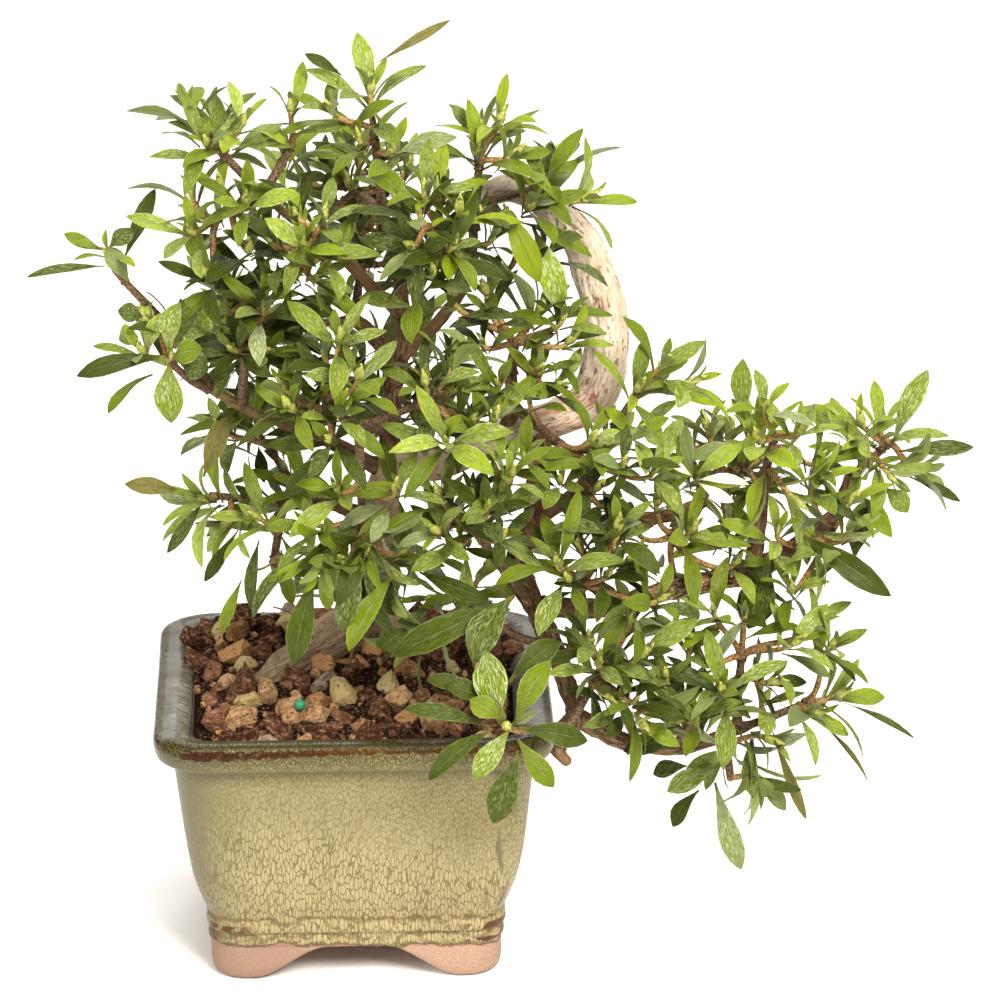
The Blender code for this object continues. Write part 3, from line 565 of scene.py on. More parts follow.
def grown_wood(name, limbs, sides, voxel, relief, material):
    """Limbs grown into one body: remeshed, eased where they join, and given their bark's relief."""
    piece = link_mesh(name, *joined([limb.tube(sides) for limb in limbs]), material)
    remesh = piece.modifiers.new("one_skin", "REMESH")
    remesh.mode = "VOXEL"
    remesh.voxel_size = voxel * MM
    ease = piece.modifiers.new("eased_forks", "SMOOTH")
    ease.factor = 0.5
    ease.iterations = FORK_ROUNDS
    mesh = bpy.data.meshes.new_from_object(piece.evaluated_get(bpy.context.evaluated_depsgraph_get()))
    piece.modifiers.clear()
    piece.data = mesh

    def read(key):
        flat = np.zeros(len(mesh.vertices) * 3, np.float32)
        mesh.vertices.foreach_get(key, flat)
        return flat.reshape(-1, 3)

    places = (read("co") - np.array(POT_MIDDLE)) / MM
    normals = read("normal")
    middles = np.concatenate([limb.middles for limb in limbs]).astype(np.float32)
    radii = np.concatenate([limb.radii for limb in limbs]).astype(np.float32)
    along = np.concatenate([limb.along + LIMB_SHIFT * i for i, limb in enumerate(limbs)])
    side = np.concatenate([limb.side for limb in limbs])
    across = np.concatenate([limb.across for limb in limbs])
    grain = np.zeros((len(places), 3), np.float32)
    thickness = np.zeros(len(places), np.float32)
    for start in range(0, len(places), POINTS_AT_ONCE):
        some = slice(start, start + POINTS_AT_ONCE)
        away = np.linalg.norm(places[some, None] - middles[None], axis=2) - radii[None]
        near = away.argmin(axis=1)
        out = places[some] - middles[near]
        grain[some, 0] = (out * side[near]).sum(axis=1)
        grain[some, 1] = (out * across[near]).sum(axis=1)
        grain[some, 2] = along[near]
        thickness[some] = radii[near]
    lift = np.array([relief(Vector(g), r) for g, r in zip(grain.tolist(), thickness.tolist())])
    places += normals * lift[:, None]
    mesh.vertices.foreach_set("co", (places * MM + np.array(POT_MIDDLE)).astype(np.float32).ravel())
    store(mesh, "grain", "FLOAT_VECTOR", grain.ravel())
    store(mesh, "thickness", "FLOAT", thickness)
    mesh.materials.clear()
    mesh.materials.append(material)
    mesh.shade_smooth()
    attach(piece, "root")
    return piece


def stretched_noise(place, across, along, shift=(0, 0, 0)):
    x, y, z = place + Vector(shift)
    return noise.noise(Vector((x * across, y * across, z * along)))


def trunk_relief(place, radius):
    lumps = 1.0 * stretched_noise(place, 0.15, 0.085)
    fibres = 0.50 * stretched_noise(place, 0.62, 0.13, (31, 7, 0))
    fine = 0.16 * stretched_noise(place, 1.3, 0.55, (3, 71, 0))
    return (lumps + fibres + fine) * min(1.0, radius / 6.0)


def bark_noise(shader, across, along, detail=3.0, rough=0.5):
    """Noise drawn out along the limb."""
    grain = shader.attribute("grain", "Vector")
    return shader.noise(shader.stretched(grain, (across, across, along)), 1.0, detail, rough)


def spot(shader, place, centre, radius):
    """One round a place on the tree, fading out to its radius."""
    away = shader.vectors("DISTANCE", place, centre, output="Value")
    return away.ramp(radius * 0.35, radius, 1.0, 0.0)


def pale_bark_material():
    material, s = new_shader("pale_bark")
    place = millimetres(s)
    level = s.axes(place)[2]
    broad = bark_noise(s, 0.10, 0.06)
    fibres = bark_noise(s, 0.9, 0.16, 4.0, 0.6)
    flecks = bark_noise(s, 0.42, 0.19, 3.0, 0.65)
    pits = bark_noise(s, 0.80, 0.40, 2.0)
    mottle = bark_noise(s, 1.3, 0.55, 3.0, 0.6)
    cream = s.mix(broad.ramp(0.35, 0.65), (0.595, 0.475, 0.350), (0.735, 0.635, 0.515))
    tan = s.mix(broad.ramp(0.3, 0.7), (0.190, 0.135, 0.075), (0.330, 0.245, 0.145))
    fleck = s.either(flecks.ramp(0.60, 0.64), pits.ramp(0.66, 0.70) * 0.7)
    bark = s.coats(
        s.mix(level.ramp(176.0, 214.0), tan, cream),
        (fibres.ramp(0.44, 0.62) * 0.60, (0.330, 0.225, 0.140)),
        (mottle.ramp(0.50, 0.60) * 0.50, (0.400, 0.320, 0.215)),
        (fleck * 0.80, (0.210, 0.080, 0.040)),
        (spot(s, place, TRUNK_BEND, 21.0) * fibres.ramp(0.46, 0.62) * 0.75, (0.450, 0.120, 0.070)),
        (spot(s, place, TRUNK_SCAR, 5.5) * pits.ramp(0.46, 0.50) * 0.95, (0.190, 0.045, 0.014)),
        (spot(s, place, TRUNK_TOP, 24.0) * 0.75, (0.330, 0.260, 0.200)),
        (level.ramp(104.0, 122.0, 1.0, 0.0) * fibres.ramp(0.36, 0.6) * 0.75, (0.120, 0.070, 0.040)))
    set_surface(s, bark, fibres.ramp(0.3, 0.7, 0.68, 0.86), fibres - fleck * 0.5, 0.5,
                Specular_IOR_Level=0.25)
    return material


trunk_limb = Limb(TRUNK_LINE)
trunk = grown_wood("trunk_bark", [trunk_limb] + [Limb(root) for root in ROOTS], TRUNK_SIDES, TRUNK_VOXEL,
                   trunk_relief, pale_bark_material())
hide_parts("trunk_base", "trunk_cross", "trunk_arch", "trunk_end")

# ---- Boughs ------------------------------------------------------------------------------------
# The limbs that grow out of the trunk: the cascade that hangs over the pot's right side, and the
# thinner boughs that lift the crown.  Their bark is grey brown, rough and cracked lengthwise, with
# pale and rusty lichen on the long low one.
BOUGHS = {
    "cascade": [(72, 9, 200, 4.8), (72, 2, 185, 4.4), (69, -6, 166, 4.5), (63, -14, 152, 4.8),
                (71, -20, 134, 4.3), (79, -28, 116, 3.9), (84, -34, 99, 3.6), (80, -36, 91, 4.6),
                (77, -38, 86, 3.2), (81, -39, 81, 2.2)],
    "bough_leader": [(15, 23, 181, 4.4), (16, 17, 208, 3.8), (20, 11, 235, 3.2), (19, 7, 263, 2.7),
                     (13, 5, 287, 2.2)],
    "bough_top_left": [(20, 10, 244, 2.6), (0, 4, 267, 2.2), (-18, 0, 284, 1.9), (-32, -2, 296, 1.7)],
    "bough_top_right": [(20, 12, 228, 2.9), (34, 8, 243, 2.4), (45, 6, 260, 2.1), (47, 4, 280, 1.8)],
    "bough_left": [(14, 25, 176, 3.2), (-12, 11, 196, 2.7), (-36, 2, 209, 2.2), (-54, -2, 221, 1.9)],
    "bough_low_left": [(11, 33, 150, 3.5), (-6, 15, 167, 3.0), (-26, 0, 173, 2.5)],
    "bough_front": [(16, 18, 198, 3.5), (9, -6, 206, 3.0), (3, -24, 212, 2.5)],
    "bough_back": [(18, 14, 218, 3.5), (13, 38, 224, 3.0), (2, 54, 229, 2.5)],
    "bough_inner": [(60, 10, 197, 3.3), (61, 2, 213, 2.8), (61, -4, 226, 2.4)],
    "bough_right_up": [(69, -6, 167, 3.3), (86, -10, 180, 2.9), (94, -12, 194, 2.5), (100, -12, 206, 2.2)],
    "bough_right_mid": [(66, -9, 160, 3.5), (95, -2, 164, 3.1), (118, 4, 164, 2.7), (134, 8, 168, 2.3)],
    "bough_lichen": [(69, -19, 137, 4.2), (95, -19, 136, 4.0), (125, -12, 141, 4.2), (149, -6, 144, 4.1),
                     (168, 0, 151, 3.7), (186, 6, 163, 3.2), (192, 8, 178, 2.7)],
    "bough_right_high": [(153, -5, 145, 3.5), (156, -3, 163, 3.0), (158, 0, 182, 2.5)],
    "bough_low_right": [(84, -34, 98, 3.7), (104, -28, 84, 3.3), (128, -21, 79, 2.9), (148, -16, 84, 2.4)],
}
RED_FORK = (70, -3, 175)
LICHEN_PLACE = (132, -12, 142)
BOUGH_SIDES = 20
BOUGH_VOXEL = 0.62


def bough_relief(place, radius):
    lumps = 0.85 * stretched_noise(place, 0.24, 0.16)
    cracks = -0.75 * abs(stretched_noise(place, 0.75, 0.17, (17, 3, 0)))
    fine = 0.22 * stretched_noise(place, 1.5, 0.8, (5, 41, 0))
    return (lumps + cracks + 0.2 + fine) * min(1.0, radius / 4.0)


def dark_bark_material():
    material, s = new_shader("dark_bark")
    place = millimetres(s)
    broad = bark_noise(s, 0.16, 0.09)
    fibres = bark_noise(s, 0.95, 0.20, 5.0, 0.65)
    crust = bark_noise(s, 0.55, 0.42, 3.0, 0.6)
    lichened = spot(s, place, LICHEN_PLACE, 34.0)
    bark = s.coats(
        s.mix(broad.ramp(0.35, 0.65), (0.062, 0.034, 0.017), (0.180, 0.105, 0.054)),
        (fibres.ramp(0.50, 0.66) * 0.75, (0.360, 0.240, 0.135)),
        (fibres.ramp(0.32, 0.46, 1.0, 0.0) * 0.90, (0.020, 0.010, 0.006)),
        (spot(s, place, RED_FORK, 17.0) * 0.6, (0.150, 0.050, 0.035)),
        (lichened * crust.ramp(0.52, 0.60) * 0.8, (0.500, 0.430, 0.290)),
        (lichened * crust.ramp(0.34, 0.42, 1.0, 0.0) * 0.8, (0.400, 0.150, 0.050)),
        (s.attribute("thickness").ramp(2.0, 3.2, 0.55, 0.0), (0.240, 0.140, 0.060)))
    set_surface(s, bark, fibres.ramp(0.3, 0.7, 0.9, 0.7), fibres, 0.7, Specular_IOR_Level=0.10)
    return material


bough_limbs = {name: Limb(points) for name, points in BOUGHS.items()}
boughs = grown_wood("boughs_bark", list(bough_limbs.values()), BOUGH_SIDES, BOUGH_VOXEL, bough_relief,
                    dark_bark_material())
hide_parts(*BOUGHS)

# ---- Soil --------------------------------------------------------------------------------------
# Loose, coarse potting mix, heaped higher at the back: angular dark red-brown bark, tan pumice full
# of pits, a few grey and yellow stones and flat strips of bark.  One green feed pellet lies in front.
SOIL_FRONT = 95.5
SOIL_BACK = 109.5
SOIL_HEAPED = 107.7
SOIL_EDGE_DROP = 3.0
SOIL_LUMP = 1.1
SOIL_WALL_GAP = 0.36
SOIL_TOP_ROW = 4                # the wall row of the pot's inside that the chips reach
SOIL_RINGS = 26
BED_DEPTH = 3.6                 # of the fine bed below the tops of the chips that lie on it
CHIP_SPACING = 8.8
CRUMB_SPACING = 5.0
WOOD_CLEARANCE = 1.5
CHIP_CORNERS = 17
CHIP_SHAPES = 8                 # of each kind
WORN_FROM = 0.3                 # chips rounder than this are worn and pitted
MOST_CHIPS = 90000.0            # on a square metre
BED_LUMP = 0.9
PIT_DEPTH = 0.09                # of the pits in a worn chip, in its lengths
PIT_SCALE = 260.0
PELLET_PLACE = (-20.5, -29.4, 101.8)
PELLET_RADIUS = 2.3


def root_distance(x, y):
    """Distance in plan from the trunk's foot and its surface roots."""
    nearest = 1e9
    for root in ROOTS:
        for (ax, ay, _, ar), (bx, by, _, br) in zip(root, root[1:]):
            run = Vector((bx - ax, by - ay))
            t = min(max(((x - ax) * run.x + (y - ay) * run.y) / run.length_squared, 0.0), 1.0)
            here = Vector((ax, ay)) + run * t
            nearest = min(nearest, (Vector((x, y)) - here).length - (ar + (br - ar) * t))
    return nearest


def soil_level(x, y, edge=0.0):
    """Height of the chips: rising to the back, heaped at the wood, lower against the wall."""
    rise = SOIL_FRONT + (SOIL_BACK - SOIL_FRONT) * smoothstep(-58.0, 40.0, y)
    lumps = (math.sin(x * 0.31 + 1.7) * math.cos(y * 0.37 + 0.4)
             + 0.6 * math.sin(x * 0.83 + y * 0.59) + 0.5 * math.cos(x * 0.47 - y * 0.91 + 2.0))
    free = rise + SOIL_LUMP * lumps - SOIL_EDGE_DROP * edge
    return SOIL_HEAPED + (free - SOIL_HEAPED) * smoothstep(4.0, 10.0, root_distance(x, y))


def soil_rings():
    rows = POT_INSIDE[SOIL_TOP_ROW:][::-1]
    rings = [[(x, y, level + SOIL_WALL_GAP) for x, y in square_ring(half - SOIL_WALL_GAP, corner)]
             for level, half, corner in rows]
    _, top_half, top_corner = rows[-1]
    for j in range(SOIL_RINGS):
        share = 1.0 - j / SOIL_RINGS
        ring = square_ring((top_half - SOIL_WALL_GAP) * share, top_corner * share)
        rings.append([(x, y, soil_level(x, y, smoothstep(0.8, 1.0, share)) - BED_DEPTH
                       + BED_LUMP * noise.noise(Vector((x * 0.3, y * 0.3, 5)))) for x, y in ring])
    return rings


def chip_shape(name, lengths, roundness, seed):
    """A broken chip: the hull of random corners, split once and worn where it is rounder."""
    draw = random.Random(seed)
    work = bmesh.new()
    for _ in range(CHIP_CORNERS):
        corner = Vector([draw.uniform(-1, 1) for _ in range(3)])
        corner = corner.lerp(corner.normalized(), roundness)
        work.verts.new(Vector([c * l * 0.5 * MM for c, l in zip(corner, lengths)]))
    hull = bmesh.ops.convex_hull(work, input=work.verts)
    loose = [v for v in hull["geom_interior"] if isinstance(v, bmesh.types.BMVert)]
    bmesh.ops.delete(work, geom=loose, context="VERTS")
    if roundness > WORN_FROM:
        bmesh.ops.subdivide_edges(work, edges=work.edges, cuts=1, smooth=0.35)
        for vertex in work.verts:
            pit = noise.noise(vertex.co * PIT_SCALE + Vector((seed, 0, 0)))
            vertex.co += vertex.co.normalized() * pit * lengths[0] * PIT_DEPTH * MM
    bmesh.ops.recalc_face_normals(work, faces=work.faces)
    mesh = bpy.data.meshes.new(name)
    work.to_mesh(mesh)
    work.free()
    return bpy.data.objects.new(name, mesh)


def shapes_collection(name, shapes):
    group = bpy.data.collections.new(name)
    for shape in shapes:
        group.objects.link(shape)
    return group


def chip_shapes(name, length, width, thickness, step, roundness, seed):
    """Chips of one kind, of three widths and, where there is a step, of two thicknesses."""
    return shapes_collection(f"{name}_shapes", [
        chip_shape(f"{name}_{i}", (length, width + i % 3, thickness + step * (i % 2)), roundness, seed + i)
        for i in range(CHIP_SHAPES)])


class Nodes(Shader):
    """A Geometry Nodes tree with named inputs, and the same short calls as a shader's."""

    def __init__(self, name, **sockets):
        super().__init__(bpy.data.node_groups.new(name, "GeometryNodeTree"))
        for label, kind in sockets.items():
            self.tree.interface.new_socket(label, in_out="INPUT", socket_type=f"NodeSocket{kind}")
        self.tree.interface.new_socket("Result", in_out="OUTPUT", socket_type="NodeSocketGeometry")
        self.given = {o.name: Value(self, o) for o in self.tree.nodes.new("NodeGroupInput").outputs}

    def attribute(self, name, kind="FLOAT"):
        return self.out("GeometryNodeInputNamedAttribute", {"Name": name}, "Attribute", data_type=kind)

    def random(self, low, high, seed, kind="FLOAT"):
        first, output = {"FLOAT_VECTOR": (0, 0), "FLOAT": (2, 1), "INT": (4, 2)}[kind]
        return self.out("FunctionNodeRandomValue", {first: low, first + 1: high, "Seed": seed}, output,
                        data_type=kind)

    def copies(self, points, shapes, pick, turn, size):
        """One of a collection's shapes on each point."""
        kinds = self.out("GeometryNodeCollectionInfo", {
            "Collection": shapes, "Separate Children": True, "Reset Children": True})
        return self.out("GeometryNodeInstanceOnPoints", {
            "Points": points, "Instance": kinds, "Pick Instance": True, "Instance Index": pick,
            "Rotation": turn, "Scale": size})

    def finish(self, geometry, material):
        real = self.out("GeometryNodeRealizeInstances", {"Geometry": geometry})
        dressed = self.out("GeometryNodeSetMaterial", {"Geometry": real, "Material": material})
        self.node("NodeGroupOutput", {"Result": dressed})
        return self.tree


def run_nodes(name, base, tree, **values):
    """A plain mesh object made by a Geometry Nodes tree from a base object."""
    modifier = base.modifiers.new(name, "NODES")
    modifier.node_group = tree
    for item in tree.interface.items_tree:
        if item.in_out == "INPUT" and item.name in values:
            modifier[item.identifier] = values[item.name]
    mesh = bpy.data.meshes.new_from_object(base.evaluated_get(bpy.context.evaluated_depsgraph_get()))
    base.modifiers.remove(modifier)
    mesh.name = name
    return new_object(name, mesh)


def scatter_tree():
    """Chips on the upward faces that are clear of the wood; each kind takes its share of the places."""
    n = Nodes("scatter_chips", Bed="Geometry", Spacing="Float", Clearance="Float", Smallest="Float",
              Largest="Float", Share_From="Float", Share_To="Float", Tilt="Float", Seed="Int",
              Shapes="Collection", Finish="Material")
    given = n.given
    upward = n.axes(n.out("GeometryNodeInputNormal"))[2]
    open_face = (n.attribute("clear") > given["Clearance"]) * (upward > 0.5)
    places = n.out("GeometryNodeDistributePointsOnFaces", {
        "Mesh": given["Bed"], "Selection": open_face, "Distance Min": given["Spacing"],
        "Density Max": MOST_CHIPS, "Seed": given["Seed"]}, "Points", distribute_method="POISSON")
    lot = n.random(0.0, 1.0, 11)
    other_kind = n.either(lot < given["Share_From"], lot > given["Share_To"])
    kept = n.out("GeometryNodeDeleteGeometry", {"Geometry": places, "Selection": other_kind})
    tilt = given["Tilt"]
    turn = n.random(n.vector(tilt * -1.0, tilt * -1.0, 0.0), n.vector(tilt, tilt, math.tau), 3,
                    "FLOAT_VECTOR")
    size = n.random(given["Smallest"], given["Largest"], 7)
    chips = n.copies(kept, given["Shapes"], n.random(0, CHIP_SHAPES - 1, 5, "INT"), turn, size)
    toned = n.out("GeometryNodeStoreNamedAttribute", {
        "Geometry": chips, "Name": "tone", "Value": n.random(0.0, 1.0, 13)},
        data_type="FLOAT", domain="INSTANCE")
    return n.finish(toned, given["Finish"])


def chip_material(name, dark, light, odd, odd_share, scale, depth, fibre=1.0):
    """Rough chips, each with its own tone, painted shade in the pits and pale spots on high places, partly
    dust and partly painted highlight; an odd few take a third colour.
    """
    material, s = new_shader(name)
    place = s.stretched(millimetres(s), (1.0, 1.0, fibre))
    tone = s.attribute("tone")
    grain = s.noise(place, scale, 5.0, 0.65)
    holes = s.noise(place, scale * 1.9, 3.0, 0.6).ramp(0.33, 0.41, 1.0, 0.0)
    own_tone = s.math("ADD", tone * 0.8, (grain - 0.46) * 2.6, clamp=True)
    colour = s.coats(
        s.mix(own_tone, dark, light),
        (tone.ramp(1.0 - odd_share, 1.0 - odd_share + 0.01), odd),
        # the pits painted near black: painted shade in the hollows
        (holes * 0.75, (0.026, 0.012, 0.006)),
        # pale spots on the high places: partly dust, partly painted highlight
        (grain.ramp(0.54, 0.66, 0.0, 0.5), (0.400, 0.290, 0.190)))
    set_surface(s, colour, 0.92, grain - holes * 0.6, depth, Specular_IOR_Level=0.06)
    return material


bed_finish = chip_material("fine_soil", (0.012, 0.005, 0.002), (0.042, 0.018, 0.009), (0.1, 0.05, 0.03),
                           0.0, 1.1, 0.6)
bed = link_mesh("soil_bed", *stack(soil_rings(), (0, 0, POT_INSIDE[-1][0] + SOIL_WALL_GAP),
                                   (0, 0, soil_level(0, 0) - BED_DEPTH)), bed_finish)
store(bed.data, "clear", "FLOAT", [
    root_distance(*((v.co - POT_MIDDLE) / MM).to_2d()) for v in bed.data.vertices])
bark_shapes = chip_shapes("bark", 15.5, 11.0, 8.5, 1, 0.15, 40)
pumice_shapes = chip_shapes("pumice", 15.0, 11.5, 10.0, 0, 0.42, 60)
strip_shapes = chip_shapes("strip", 19.0, 4.6, 2.6, 0, 0.05, 80)
bark_finish = chip_material("red_brown_bark", (0.032, 0.011, 0.005), (0.225, 0.105, 0.056),
                            (0.380, 0.200, 0.085), 0.12, 0.40, 1.3, 1.8)
pumice_finish = chip_material("tan_pumice", (0.200, 0.092, 0.036), (0.540, 0.335, 0.175),
                              (0.420, 0.320, 0.140), 0.16, 0.45, 1.6)
stone_finish = chip_material("grey_stone", (0.120, 0.085, 0.060), (0.360, 0.280, 0.200),
                             (0.420, 0.330, 0.150), 0.30, 0.40, 1.0)
scatter = scatter_tree()
SOIL_KINDS = [
    # name, shapes, finish, spacing, smallest, largest, share from, to, tilt, seed
    ("bark_chips", bark_shapes, bark_finish, CHIP_SPACING, 0.65, 1.15, 0.0, 0.55, 0.9, 4),
    ("bark_strips", strip_shapes, bark_finish, CHIP_SPACING, 0.70, 1.15, 0.55, 0.64, 0.5, 4),
    ("pumice_lumps", pumice_shapes, pumice_finish, CHIP_SPACING, 0.60, 1.15, 0.64, 0.86, 1.5, 4),
    ("grey_stones", pumice_shapes, stone_finish, CHIP_SPACING, 0.60, 1.05, 0.88, 1.0, 1.5, 4),
    ("crumbs", bark_shapes, bark_finish, CRUMB_SPACING, 0.25, 0.45, 0.0, 0.75, 1.5, 9),
    ("pale_crumbs", pumice_shapes, pumice_finish, CRUMB_SPACING, 0.22, 0.42, 0.75, 1.0, 1.5, 9)]
soil_pieces = [bed] + [
    run_nodes(name, bed, scatter, Shapes=shapes, Finish=finish, Spacing=spacing * MM,
              Clearance=WOOD_CLEARANCE, Smallest=small, Largest=large, Share_From=low, Share_To=high,
              Tilt=tilt, Seed=seed)
    for name, shapes, finish, spacing, small, large, low, high, tilt, seed in SOIL_KINDS]

pellet_shape = bmesh.new()
bmesh.ops.create_icosphere(pellet_shape, subdivisions=3, radius=PELLET_RADIUS * MM,
                           matrix=Matrix.Translation(in_frame(PELLET_PLACE)))
pellet_mesh = bpy.data.meshes.new("feed_pellet")
pellet_shape.to_mesh(pellet_mesh)
pellet_shape.free()
pellet_mesh.shade_smooth()
pellet_mesh.materials.append(plain_material("green_feed", (0.02, 0.22, 0.10), 0.5))
pellet = new_object("feed_pellet", pellet_mesh)
for piece in soil_pieces + [pellet]:
    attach(piece, "root")
    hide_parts("soil")

